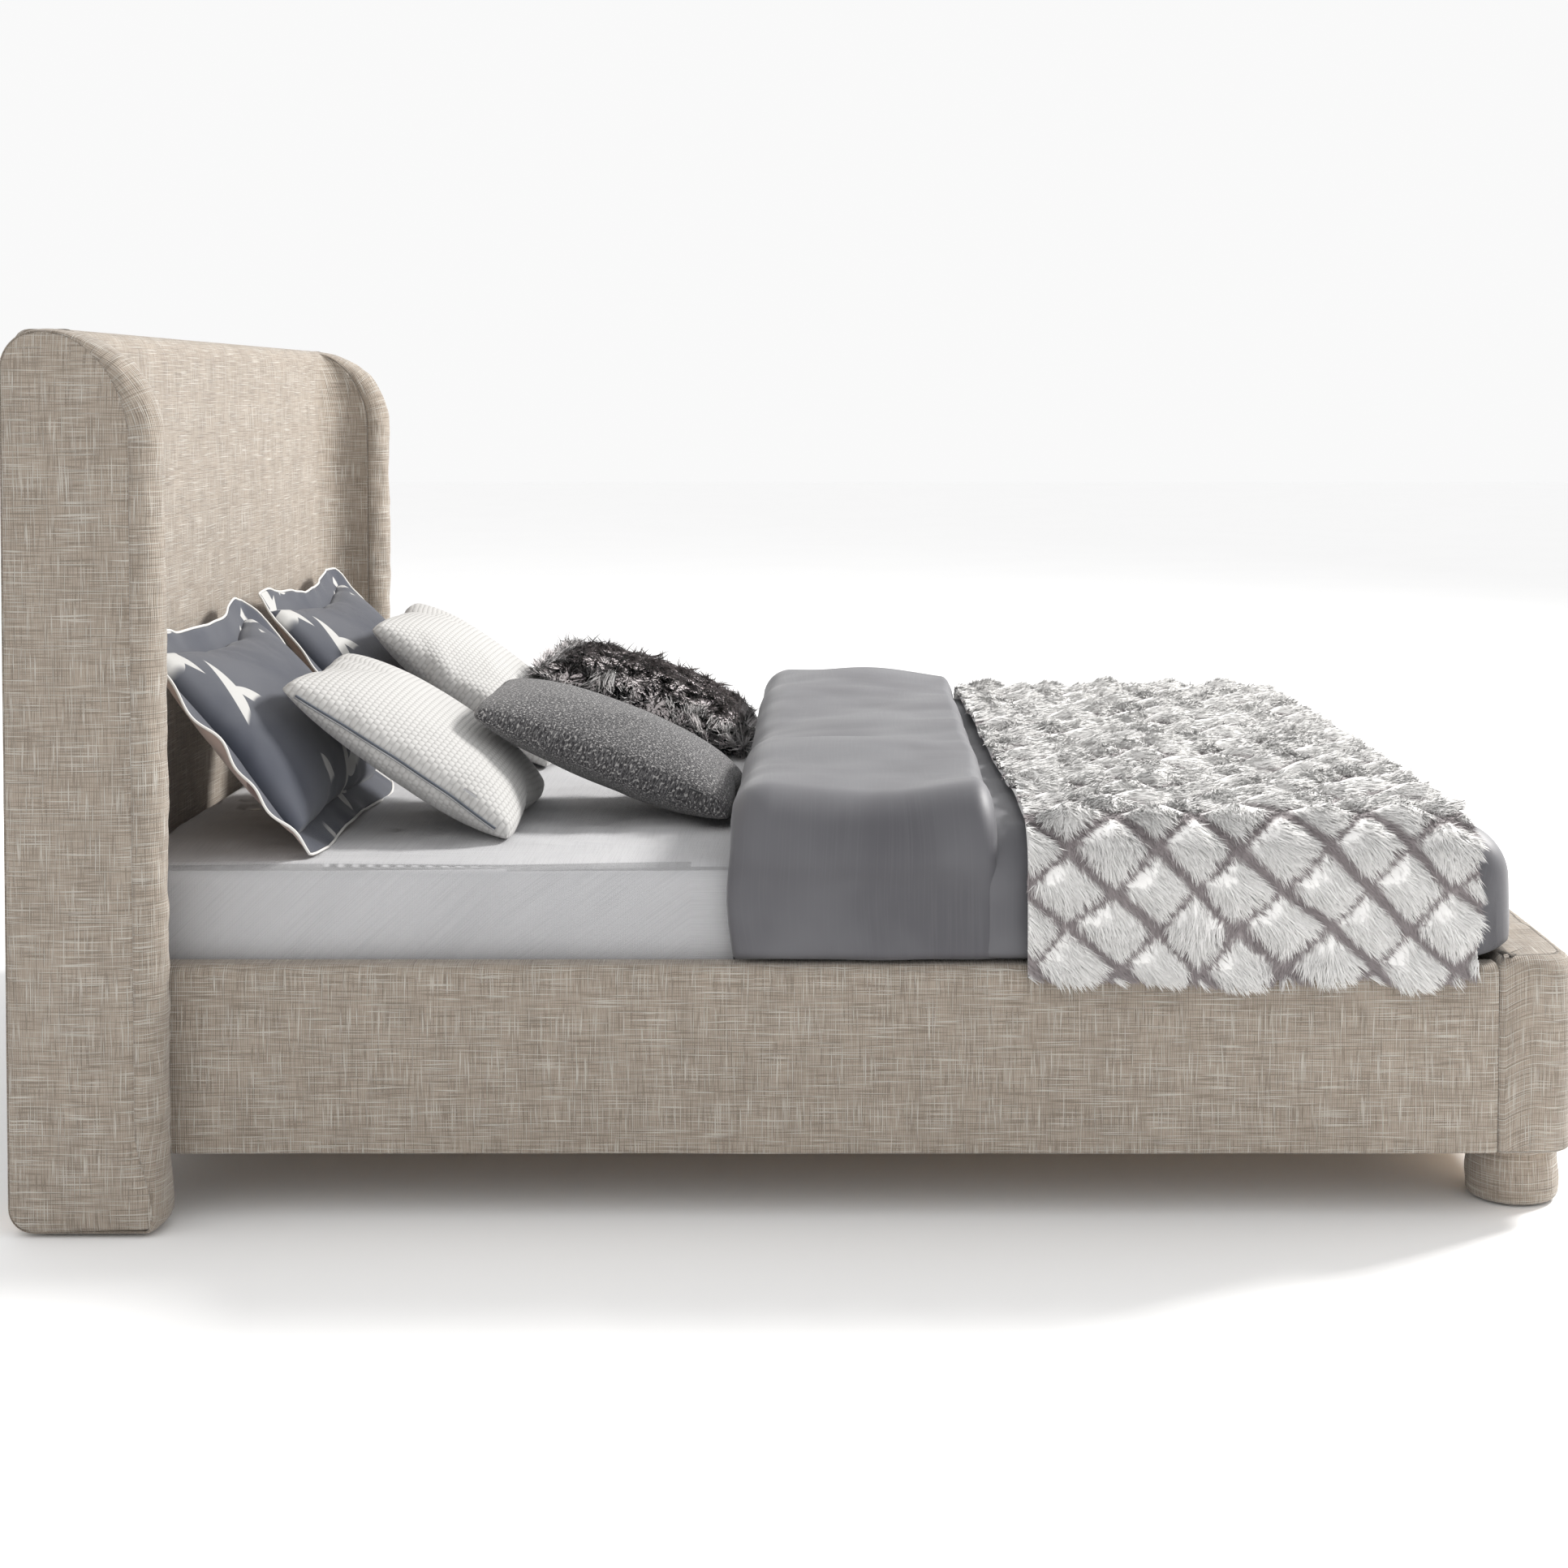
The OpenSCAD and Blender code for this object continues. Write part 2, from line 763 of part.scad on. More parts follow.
module quilted_pillow_right() {
    color("#dedbd3") lean(quilted_far_x, quilted_far_y, edge_z(quilted_far_lean, quilted_t),
        quilted_far_lean, quilted_h) cushion(quilted_w, quilted_h, quilted_t);
}

module tweed_pillow() {
    color("#55565a") lean(-tweed_x, tweed_y, edge_z(tweed_lean, tweed_t), tweed_lean,
        tweed_h) cushion(tweed_w, tweed_h, tweed_t);
}

module wool_pillow() {
    color("#9d9390") lean(wool_x, wool_y, edge_z(wool_lean, wool_t), wool_lean, wool_h)
        cushion(wool_w, wool_h, wool_t);
}

// Small plate against the left edge of a cushion of width w
module pull(w, along) {
    translate([-w / 2 - pull_w, along, -pull_t / 2]) cube([pull_w, pull_l, pull_t]);
}

module quilted_zip_pull() {
    color("#8f9296") lean(-quilted_x, quilted_y, edge_z(quilted_lean, quilted_t),
        quilted_lean, quilted_h) pull(quilted_w, -quilted_h / 2 + pillow_edge + 18);
}

module tweed_zip_pull() {
    color("#1c1c1d") lean(-tweed_x, tweed_y, edge_z(tweed_lean, tweed_t), tweed_lean,
        tweed_h) pull(tweed_w, -tweed_h / 2 + pillow_edge + 2);
}

headboard_pad();
on_side(true) wing_pad();  // wing_pad_left
on_side(false) wing_pad();  // wing_pad_right
headboard_plywood();
headboard_posts();
headboard_battens();
headboard_bottom_rail();
headboard_back_cover();
on_side(true) wing_core();  // wing_core_left
on_side(false) wing_core();  // wing_core_right
wing_bolts();
headboard_glides();
on_side(true) drilled_rail_board();  // rail_board_left
on_side(false) drilled_rail_board();  // rail_board_right
on_side(true) rail_cover();  // rail_cover_left
on_side(false) rail_cover();  // rail_cover_right
on_side(true) slat_ledger();  // slat_ledger_left
on_side(false) slat_ledger();  // slat_ledger_right
ledger_screws();
head_brackets();
foot_brackets();
head_bracket_bolts();
foot_bracket_bolts();
bracket_inserts();
footboard_rails();
footboard_blocks();
footboard_plywood();
footboard_cover();
on_side(true) leg_core();  // leg_core_left
on_side(false) leg_core();  // leg_core_right
on_side(true) leg_sleeve();  // leg_sleeve_left
on_side(false) leg_sleeve();  // leg_sleeve_right
leg_bolts();
leg_glides();
centre_beam();
beam_shoes();
centre_leg(0);  // centre_leg_head
centre_leg(1);  // centre_leg_middle
centre_leg(2);  // centre_leg_foot
centre_leg_bolts();
leveller(0);  // leveller_head
leveller(1);  // leveller_middle
leveller(2);  // leveller_foot
slats();
slat_webbings();
mattress();
fitted_sheet();
duvet();
fur_throw();
sham(-1);  // sham_left
sham(1);  // sham_right
quilted_pillow_left();
quilted_pillow_right();
tweed_pillow();
wool_pillow();
quilted_zip_pull();
tweed_zip_pull();
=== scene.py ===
"""Looks of the wing-headboard upholstered bed: covers, bedding, cushions and hidden timber."""

import json
import logging
import math
from collections.abc import Sequence
from dataclasses import dataclass, replace
from enum import Enum

import bpy
import numpy as np
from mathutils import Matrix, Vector

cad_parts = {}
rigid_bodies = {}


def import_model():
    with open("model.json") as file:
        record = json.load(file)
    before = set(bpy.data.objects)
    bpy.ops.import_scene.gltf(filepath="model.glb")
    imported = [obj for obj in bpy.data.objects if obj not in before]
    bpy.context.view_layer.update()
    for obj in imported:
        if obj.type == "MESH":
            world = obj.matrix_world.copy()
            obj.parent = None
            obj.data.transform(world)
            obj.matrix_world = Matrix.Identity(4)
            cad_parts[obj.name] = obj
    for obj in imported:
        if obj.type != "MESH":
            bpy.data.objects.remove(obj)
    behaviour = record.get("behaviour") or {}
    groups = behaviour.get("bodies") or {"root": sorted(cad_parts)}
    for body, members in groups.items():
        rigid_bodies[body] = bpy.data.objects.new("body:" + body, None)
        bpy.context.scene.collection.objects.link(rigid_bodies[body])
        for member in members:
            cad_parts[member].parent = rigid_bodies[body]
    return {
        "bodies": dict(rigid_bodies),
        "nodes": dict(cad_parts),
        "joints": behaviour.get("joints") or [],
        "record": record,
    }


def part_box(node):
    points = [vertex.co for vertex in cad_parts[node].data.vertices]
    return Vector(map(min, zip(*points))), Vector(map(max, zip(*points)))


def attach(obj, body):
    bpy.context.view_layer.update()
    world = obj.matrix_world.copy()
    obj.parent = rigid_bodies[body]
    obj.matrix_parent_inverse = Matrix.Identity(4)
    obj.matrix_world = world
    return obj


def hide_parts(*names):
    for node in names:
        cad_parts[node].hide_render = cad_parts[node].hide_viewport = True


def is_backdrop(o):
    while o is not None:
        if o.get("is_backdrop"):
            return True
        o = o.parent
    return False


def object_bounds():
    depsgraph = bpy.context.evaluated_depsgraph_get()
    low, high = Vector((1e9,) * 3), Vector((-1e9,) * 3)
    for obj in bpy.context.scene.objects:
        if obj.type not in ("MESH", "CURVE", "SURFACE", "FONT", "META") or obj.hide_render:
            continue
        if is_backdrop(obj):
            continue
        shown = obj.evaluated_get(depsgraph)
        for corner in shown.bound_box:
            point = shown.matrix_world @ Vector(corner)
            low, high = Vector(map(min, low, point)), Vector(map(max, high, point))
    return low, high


LOG = logging.getLogger("bed")
Spot = tuple[float, float, float]
Tone = tuple[float, float, float]
Flat = tuple[float, float]
Grid = np.ndarray
Piece = bpy.types.Object
Finish = bpy.types.Material
Socket = bpy.types.NodeSocket

QUARTER = math.pi / 2.0
FULL = 2.0 * math.pi
REST = 0.0015  # space between the fitted sheet and what lies on it
BAND_RISE = 0.053  # height of the turned-back band over the rest of the duvet
LINING = np.array([4.0, 0.0])  # shift of the inner layer's cloth, in metres, which tells the layers apart


class Slot(Enum):
    """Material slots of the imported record."""

    UPHOLSTERY = "upholstery"
    BACK_CLOTH = "back_cloth"
    TIMBER = "timber"
    PLYWOOD = "plywood"
    STEEL = "steel"
    INSERT = "insert_metal"
    NYLON = "nylon"
    WEBBING = "webbing"
    TICKING = "mattress_ticking"
    SHEET = "sheet_linen"
    DUVET = "duvet_sateen"
    FUR = "throw_fur"
    SHAM = "sham_cotton"
    QUILTED = "quilted_knit"
    TWEED = "tweed"
    WOOL = "long_wool"
    ZIP = "zip_metal"


class Side(Enum):
    """Which side of the bed a piece stands on, with the sign of its X."""

    LEFT = -1.0
    RIGHT = 1.0

    @property
    def word(self) -> str:
        """Name used at the end of a piece's name."""
        return self.name.lower()


# ---------- colours ----------


def tone(red: int, green: int, blue: int) -> Tone:
    """Turns a screen colour into the shader's linear colour.

    Args:
        red: red from 0 to 255.
        green: green from 0 to 255.
        blue: blue from 0 to 255.

    Returns:
        The linear red, green and blue.
    """

    def line(value: int) -> float:
        """Linear value of one channel."""
        part = value / 255.0
        return part / 12.92 if part <= 0.04045 else ((part + 0.055) / 1.055) ** 2.4

    return (line(red), line(green), line(blue))


def blend(a: Tone, b: Tone, share: float) -> Tone:
    """Mixes two linear colours; share is how much of b is taken."""
    return tuple(x + (y - x) * share for x, y in zip(a, b))


# ---------- mesh bench ----------


def deselect() -> None:
    """Leaves nothing selected."""
    bpy.ops.object.select_all(action="DESELECT")


def take(piece: Piece) -> None:
    """Selects one piece and makes it the active one."""
    deselect()
    piece.select_set(True)
    bpy.context.view_layer.objects.active = piece


def lay_cloth(name: str, points: Grid, uv: Grid | None = None) -> Piece:
    """Adds a flat grid of threads and carries each thread crossing to its place.

    Args:
        name: name of the new piece.
        points: rows by columns by 3, in metres.
        uv: rows by columns by 2, in metres of cloth; plain counts where it is None.

    Returns:
        The new piece, not yet welded.
    """
    rows, cols = points.shape[:2]
    deselect()
    bpy.ops.mesh.primitive_grid_add(x_subdivisions=cols - 1, y_subdivisions=rows - 1, size=1.0)
    piece = bpy.context.object
    piece.name = name
    piece.data.name = name
    mesh = piece.data
    mesh.vertices.foreach_set("co", np.ascontiguousarray(points, np.float32).reshape(-1))
    if uv is not None:
        corner = np.empty(len(mesh.loops), np.int32)
        mesh.loops.foreach_get("vertex_index", corner)
        flat = np.ascontiguousarray(uv, np.float32).reshape(-1, 2)[corner]
        mesh.uv_layers.active.data.foreach_set("uv", flat.reshape(-1))
    mesh.update()
    return piece


def finish_cloth(
    piece: Piece, weld: float = 1e-5, closed: bool = True, flip: bool = False
) -> Piece:
    """Welds the seams, turns the faces outwards and shades them smooth.

    Args:
        piece: the piece to finish.
        weld: distance in metres under which crossings become one.
        closed: True where the piece is a closed shell, whose normals are worked out.
        flip: True where the faces of an open piece have to be turned round.

    Returns:
        The same piece.
    """
    take(piece)
    bpy.ops.object.mode_set(mode="EDIT")
    bpy.ops.mesh.select_all(action="SELECT")
    bpy.ops.mesh.remove_doubles(threshold=weld)
    bpy.ops.mesh.dissolve_degenerate(threshold=weld)
    bpy.ops.mesh.select_all(action="SELECT")
    if closed:
        bpy.ops.mesh.normals_make_consistent(inside=False)
    elif flip:
        bpy.ops.mesh.flip_normals()
    bpy.ops.object.mode_set(mode="OBJECT")
    bpy.ops.object.shade_smooth()
    deselect()
    return piece


def dress(piece: Piece, finish: Finish, body: str) -> None:
    """Gives a piece its finish and the body it rides on."""
    piece.data.materials.clear()
    piece.data.materials.append(finish)
    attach(piece, body)
    LOG.info("%s: %d faces on %s", piece.name, len(piece.data.polygons), body)


def run_of(points: Grid) -> Grid:
    """Length along a line of points, from 0 at its first point."""
    steps = np.linalg.norm(np.diff(points, axis=0), axis=1)
    return np.concatenate([[0.0], np.cumsum(steps)])


def climb(points: Grid) -> Grid:
    """Length down each column of a grid of points, from 0 at its first row."""
    steps = np.linalg.norm(np.diff(points, axis=0), axis=-1)
    return np.vstack([np.zeros(points.shape[1]), np.cumsum(steps, axis=0)])


def spread(*axes: Grid | float) -> Grid:
    """Joins coordinates, each made as wide as the widest, into one grid of points."""
    return np.stack(np.broadcast_arrays(*axes), axis=-1)


def arc_line(centre: Flat, radius: float, start: float, end: float, count: int) -> Grid:
    """Points by 2 along an arc between two angles in degrees."""
    turn = np.radians(np.linspace(start, end, count))
    return np.column_stack([centre[0] + radius * np.cos(turn), centre[1] + radius * np.sin(turn)])


def ease(count: int) -> Grid:
    """Shares from 0 to 1, close together at both ends."""
    return (1.0 - np.cos(np.linspace(0.0, math.pi, count))) / 2.0


def widths(flat: float, past: float, ends: int, middle: int) -> Grid:
    """Lengths of cloth across the bed, closer where it hangs over the sides.

    Args:
        flat: half the length that lies flat.
        past: length that hangs on each side.
        ends: steps on each hanging side.
        middle: points on the flat part.

    Returns:
        The lengths, from the left hem to the right one.
    """
    left = -flat - np.linspace(past, 0.0, ends, endpoint=False)
    right = flat + np.linspace(0.0, past, ends + 1)[1:]
    return np.concatenate([left, np.linspace(-flat, flat, middle), right])


def read_uv(piece: Piece) -> tuple[Grid, Grid]:
    """Point number and cloth place of each face corner of a piece."""
    mesh = piece.data
    corner = np.empty(len(mesh.loops), np.int32)
    mesh.loops.foreach_get("vertex_index", corner)
    flat = np.empty(len(corner) * 2, np.float32)
    mesh.uv_layers.active.data.foreach_get("uv", flat)
    return corner, flat.reshape(-1, 2)


def paint(piece: Piece, colours: Grid) -> None:
    """Stores a colour for each point of a piece, in the layer that the pile's finish reads."""
    rgba = np.concatenate([colours, np.ones((len(colours), 1))], axis=1)
    layer = piece.data.color_attributes.new("Tint", "FLOAT_COLOR", "POINT")
    layer.data.foreach_set("color", rgba.astype(np.float32).reshape(-1))


def unit(vectors: Grid) -> Grid:
    """The same directions with length 1."""
    size = np.linalg.norm(vectors, axis=-1, keepdims=True)
    return vectors / np.maximum(size, 1e-9)


def grid_normals(points: Grid) -> Grid:
    """Normals of a grid of points: along the columns crossed with along the rows."""
    down, along = np.gradient(points, axis=(0, 1))
    return unit(np.cross(along, down))


def smooth(value: Grid | float, low: float, high: float) -> Grid:
    """Rises softly from 0 at low to 1 at high."""
    part = np.clip((np.asarray(value, float) - low) / (high - low), 0.0, 1.0)
    return part * part * (3.0 - 2.0 * part)


class Ripple:
    """Soft seeded waves in space, about 1 high, for slack, folds and crowns."""

    def __init__(self, seed: int, size: float, along: Spot = (1.0, 1.0, 1.0)) -> None:
        """Draws the waves.

        Args:
            seed: number that fixes the waves.
            size: usual distance from crest to crest, in metres.
            along: how many times longer the waves are along X, Y and Z.
        """
        draw = np.random.default_rng(seed)
        ways = unit(draw.normal(size=(28, 3))) * draw.uniform(0.6, 1.7, (28, 1))
        self.ways = ways * FULL / size / np.array(along)
        self.starts = draw.uniform(0.0, FULL, 28)

    def at(self, points: Grid) -> Grid:
        """Height of the waves at points of any number of rows and columns by 3."""
        return np.sin(points @ self.ways.T + self.starts).sum(axis=-1) / math.sqrt(14.0)


def upholster(
    name: str, points: Grid, uv: Grid, finish: Finish, flip: bool = False,
    closed: bool = False, weld: float = 1e-5,
) -> Piece:
    """Lays, finishes and dresses one cover of the frame.

    Args:
        name: name of the new piece.
        points: rows by columns by 3, in metres.
        uv: rows by columns by 2, in metres of cloth.
        finish: the cloth's finish.
        flip: True where the faces of an open piece have to be turned round.
        closed: True where the piece is a closed shell.
        weld: distance in metres under which crossings become one.

    Returns:
        The finished cover.
    """
    piece = finish_cloth(lay_cloth(name, points, uv), weld, closed, flip)
    dress(piece, finish, "frame")
    return piece


def quilt_shell(
    name: str, middle: Grid, thick: Grid, uv: Grid, outwards: float = 1.0
) -> Piece:
    """Closed shell around a middle surface, such as a quilt or a folded cloth.

    Args:
        name: name of the new piece.
        middle: rows by columns by 3, the middle surface.
        thick: rows by columns, the thickness, 0 where the two faces meet in an edge.
        uv: rows by columns by 2, in metres of cloth.
        outwards: 1 where the grid's normals point to the outer face, otherwise -1.

    Returns:
        The finished shell.
    """
    normal = grid_normals(middle) * outwards
    half = thick[..., None] * 0.5
    outer = middle + normal * half
    inner = middle - normal * half
    shell = np.concatenate([outer, inner[::-1]], axis=0)
    return finish_cloth(lay_cloth(name, shell, np.concatenate([uv, uv[::-1] + LINING])), weld=2e-5)


def cord_along(name: str, path: Grid, radius: float, closed: bool, sides: int = 8) -> Piece:
    """Round piping swept along a line of points.

    Args:
        name: name of the new piece.
        path: points by 3, in metres.
        radius: radius of the piping.
        closed: True where the last point joins the first.
        sides: faces around the piping.

    Returns:
        The finished piping.
    """
    line = np.concatenate([path, path[:1]], axis=0) if closed else path
    if closed:
        way = unit(np.roll(path, -1, axis=0) - np.roll(path, 1, axis=0))
        way = np.concatenate([way, way[:1]], axis=0)
    else:
        way = unit(np.gradient(line, axis=0))
    guide = np.array([0.0, 0.0, 1.0]) + 0.13 * np.array([0.3, 0.7, 0.0])
    across = unit(np.cross(way, guide))
    up = np.cross(across, way)
    turn = np.linspace(0.0, FULL, sides + 1)
    ring = across[None] * np.cos(turn)[:, None, None] + up[None] * np.sin(turn)[:, None, None]
    points = line[None] + ring * radius
    uv = spread(run_of(line)[None, :], (turn * radius)[:, None])
    return finish_cloth(lay_cloth(name, points, uv), weld=radius * 0.02)


# ---------- material bench ----------


class Bench:
    """Node tree of one finish, with short ways to lay and join its nodes."""

    def __init__(self, name: str, rough: float, sheen: float = 0.0, metal: float = 0.0) -> None:
        """Starts a finish.

        Args:
            name: name of the material.
            rough: roughness set on the shader.
            sheen: weight of the cloth sheen.
            metal: how metallic it is.
        """
        self.material = bpy.data.materials.new(name)
        self.material.use_nodes = True
        self.tree = self.material.node_tree
        self.tree.nodes.clear()
        self.shader = self.tree.nodes.new("ShaderNodeBsdfPrincipled")
        out = self.tree.nodes.new("ShaderNodeOutputMaterial")
        self.tree.links.new(self.shader.outputs["BSDF"], out.inputs["Surface"])
        self.shader.inputs["Roughness"].default_value = rough
        self.shader.inputs["Metallic"].default_value = metal
        self.shader.inputs["Sheen Weight"].default_value = sheen
        self.shader.inputs["Sheen Roughness"].default_value = 0.45

    def put(self, socket: Socket, value: object) -> None:
        """Joins another node's socket, or sets a number, vector or colour."""
        if isinstance(value, Socket):
            self.tree.links.new(value, socket)
        elif isinstance(value, tuple) and len(value) == 3 and socket.type == "RGBA":
            socket.default_value = (*value, 1.0)
        else:
            socket.default_value = value

    def uv(self) -> Socket:
        """The piece's own UV map, in metres of cloth."""
        return self.tree.nodes.new("ShaderNodeTexCoord").outputs["UV"]

    def space(self) -> Socket:
        """Object coordinates, in metres."""
        return self.tree.nodes.new("ShaderNodeTexCoord").outputs["Object"]

    def attribute(self, name: str) -> Socket:
        """Colour attribute stored on the mesh."""
        node = self.tree.nodes.new("ShaderNodeAttribute")
        node.attribute_name = name
        return node.outputs["Color"]

    def stretch(self, where: object, scale: Spot, turn: float = 0.0, move: Spot = (0, 0, 0)) -> object:
        """Scales, turns and moves a pattern's coordinates.

        Args:
            where: the coordinates.
            scale: repeats for each metre along each axis.
            turn: turn about Z in degrees, before the scale.
            move: move after the scale.

        Returns:
            The new coordinates.
        """
        node = self.tree.nodes.new("ShaderNodeMapping")
        self.put(node.inputs["Vector"], where)
        node.inputs["Scale"].default_value = scale
        node.inputs["Rotation"].default_value = (0.0, 0.0, math.radians(turn))
        node.inputs["Location"].default_value = move
        return node.outputs["Vector"]

    def noise(self, where: object, scale: float, detail: float = 2.0, rough: float = 0.5) -> object:
        """Noise from 0 to 1."""
        node = self.tree.nodes.new("ShaderNodeTexNoise")
        self.put(node.inputs["Vector"], where)
        node.inputs["Scale"].default_value = scale
        node.inputs["Detail"].default_value = detail
        node.inputs["Roughness"].default_value = rough
        return node.outputs["Fac"]

    def threads(self, where: object, repeats: float, axis: str, wobble: float = 0.0) -> object:
        """Even ribs across one axis, from 0 to 1, one for each repeat of a metre."""
        node = self.tree.nodes.new("ShaderNodeTexWave")
        node.bands_direction = axis
        self.put(node.inputs["Vector"], where)
        node.inputs["Scale"].default_value = repeats * math.pi / 10.0
        node.inputs["Distortion"].default_value = wobble
        node.inputs["Detail"].default_value = 1.0
        node.inputs["Detail Scale"].default_value = 1.4
        return node.outputs["Fac"]

    def math(self, work: str, a: object, b: object = 0.0, c: object = 0.0) -> object:
        """One step of arithmetic."""
        node = self.tree.nodes.new("ShaderNodeMath")
        node.operation = work
        for socket, value in zip(node.inputs, (a, b, c)):
            self.put(socket, value)
        return node.outputs["Value"]

    def times(self, a: object, b: object) -> object:
        """Product of two values."""
        return self.math("MULTIPLY", a, b)

    def between(self, value: object, low: float, high: float) -> object:
        """0 under low, 1 over high, with a soft rise between them."""
        node = self.tree.nodes.new("ShaderNodeMapRange")
        node.interpolation_type = "SMOOTHSTEP"
        self.put(node.inputs["Value"], value)
        node.inputs["From Min"].default_value = low
        node.inputs["From Max"].default_value = high
        return node.outputs["Result"]

    def parts(self, vector: object) -> Sequence[object]:
        """X, Y and Z of a vector."""
        node = self.tree.nodes.new("ShaderNodeSeparateXYZ")
        self.put(node.inputs["Vector"], vector)
        return node.outputs

    def mix(self, share: object, a: object, b: object, kind: str = "MIX") -> object:
        """Colour between a and b."""
        node = self.tree.nodes.new("ShaderNodeMix")
        node.data_type = "RGBA"
        node.blend_type = kind
        self.put(node.inputs["Factor"], share)
        self.put(node.inputs[6], a)
        self.put(node.inputs[7], b)
        return node.outputs[2]

    def bump(self, height: object, depth: float, under: object = None) -> object:
        """Raises the surface by up to depth metres, over an earlier bump."""
        node = self.tree.nodes.new("ShaderNodeBump")
        self.put(node.inputs["Height"], height)
        node.inputs["Distance"].default_value = depth
        node.inputs["Strength"].default_value = 1.0
        if under is not None:
            self.put(node.inputs["Normal"], under)
        return node.outputs["Normal"]

    def close(self, colour: object, normal: object = None, rough: object = None) -> Finish:
        """Joins colour, bump and varying roughness to the shader.

        Args:
            colour: the base colour.
            normal: the bumped normal, if there is one.
            rough: roughness that varies over the surface, if there is one.

        Returns:
            The finished material.
        """
        self.put(self.shader.inputs["Base Color"], colour)
        if normal is not None:
            self.put(self.shader.inputs["Normal"], normal)
        if rough is not None:
            self.put(self.shader.inputs["Roughness"], rough)
        return self.material


@dataclass(frozen=True)
class SlubLinen:
    """Close rib weave with light slubs both ways, as on the upholstery."""

    name: str
    ground: Tone
    slub: Tone
    dark: Tone
    rib: float = 0.0034
    depth: float = 0.0008
    slub_share: float = 0.62

    def build(self) -> Finish:
        """Lays the weave, the slubs and the mottling."""
        bench = Bench(self.name, rough=0.9, sheen=0.25)
        uv = bench.uv()
        rib = bench.threads(uv, 1.0 / self.rib, "X", 0.6)
        weft = bench.threads(uv, 1.0 / (self.rib * 0.55), "Y", 0.8)
        weave = bench.math("MULTIPLY_ADD", rib, 0.65, bench.times(weft, 0.35))
        down = bench.noise(bench.stretch(uv, (520.0, 15.0, 1.0)), 1.0, 1.0)
        across = bench.noise(bench.stretch(uv, (12.0, 520.0, 1.0), move=(7.0, 3.0, 0.0)), 1.0, 1.0)
        dark_down = bench.noise(bench.stretch(uv, (480.0, 20.0, 1.0), move=(2.0, 9.0, 0.0)), 1.0, 1.0)
        dark_across = bench.noise(bench.stretch(uv, (14.0, 480.0, 1.0), move=(5.0, 1.0, 0.0)), 1.0, 1.0)
        light = bench.math("MAXIMUM", bench.between(down, 0.57, 0.72), bench.between(across, 0.56, 0.70))
        dark = bench.between(dark_across, 0.50, 0.66)
        shade = bench.math("MAXIMUM", bench.between(dark_down, 0.52, 0.68), dark)
        cloud = bench.noise(bench.stretch(uv, (26.0, 9.0, 1.0)), 1.0, 3.0, 0.6)
        warm = bench.mix(bench.between(cloud, 0.3, 0.7), blend(self.ground, self.dark, 0.30), self.ground)
        ribbed = bench.mix(bench.times(rib, 0.5), warm, blend(self.ground, self.slub, 0.35))
        shaded = bench.mix(bench.times(shade, 0.55), ribbed, self.dark)
        colour = bench.mix(bench.times(light, self.slub_share), shaded, self.slub)
        height = bench.math("MULTIPLY_ADD", light, 0.5, weave)
        return bench.close(colour, bench.bump(height, self.depth))


@dataclass(frozen=True)
class Grained:
    """Sawn timber or the face of plywood, with grain along one axis."""

    name: str
    ground: Tone
    dark: Tone
    along: Spot

    def build(self) -> Finish:
        """Lays long fibres, growth bands and fine pores."""
        bench = Bench(self.name, rough=0.62)
        space = bench.space()
        fibres = bench.noise(bench.stretch(space, self.along), 1.0, 4.0, 0.6)
        bands = bench.noise(bench.stretch(space, tuple(v * 0.16 for v in self.along)), 1.0, 2.0)
        share = bench.math("MULTIPLY_ADD", fibres, 0.5, bench.times(bands, 0.5))
        colour = bench.mix(bench.between(share, 0.35, 0.65), self.ground, self.dark)
        return bench.close(colour, bench.bump(fibres, 0.0004))


@dataclass(frozen=True)
class Hard:
    """Plated steel, brass or moulded nylon, with fine handling marks."""

    name: str
    ground: Tone
    rough: float
    metal: float

    def build(self) -> Finish:
        """Lays fine scratches and a little mottling."""
        bench = Bench(self.name, rough=self.rough, metal=self.metal)
        space = bench.space()
        mark = bench.noise(bench.stretch(space, (90.0, 90.0, 900.0)), 1.0, 3.0, 0.6)
        cloud = bench.noise(space, 30.0, 3.0)
        worn = tuple(v * 0.78 for v in self.ground)
        colour = bench.mix(bench.between(cloud, 0.3, 0.7), self.ground, worn)
        rough = bench.math("MULTIPLY_ADD", mark, 0.22, self.rough - 0.11)
        return bench.close(colour, bench.bump(mark, 0.00012), rough)


@dataclass(frozen=True)
class PlainWeave:
    """Plain woven cloth: sheet linen, ticking, lining, webbing and piping."""

    name: str
    ground: Tone
    dark: Tone
    pitch: float = 0.0012
    depth: float = 0.00018
    slub: float = 0.4
    rough: float = 0.85
    sheen: float = 0.15

    def build(self) -> Finish:
        """Lays warp, weft and lengthwise slubs."""
        bench = Bench(self.name, rough=self.rough, sheen=self.sheen)
        uv = bench.uv()
        warp = bench.threads(uv, 1.0 / self.pitch, "X", 0.5)
        weft = bench.threads(uv, 1.0 / self.pitch, "Y", 0.5)
        weave = bench.times(warp, weft)
        streak = bench.noise(bench.stretch(uv, (9.0, 420.0, 1.0)), 1.0, 2.0)
        cloud = bench.noise(uv, 3.0, 3.0)
        share = bench.times(bench.between(streak, 0.4, 0.75), self.slub)
        ground = bench.mix(bench.between(cloud, 0.3, 0.7), self.ground, blend(self.ground, self.dark, 0.25))
        threads = bench.mix(bench.times(weave, 0.25), ground, self.dark)
        colour = bench.mix(share, threads, self.dark)
        height = bench.math("MULTIPLY_ADD", streak, 0.2, weave)
        return bench.close(colour, bench.bump(height, self.depth))


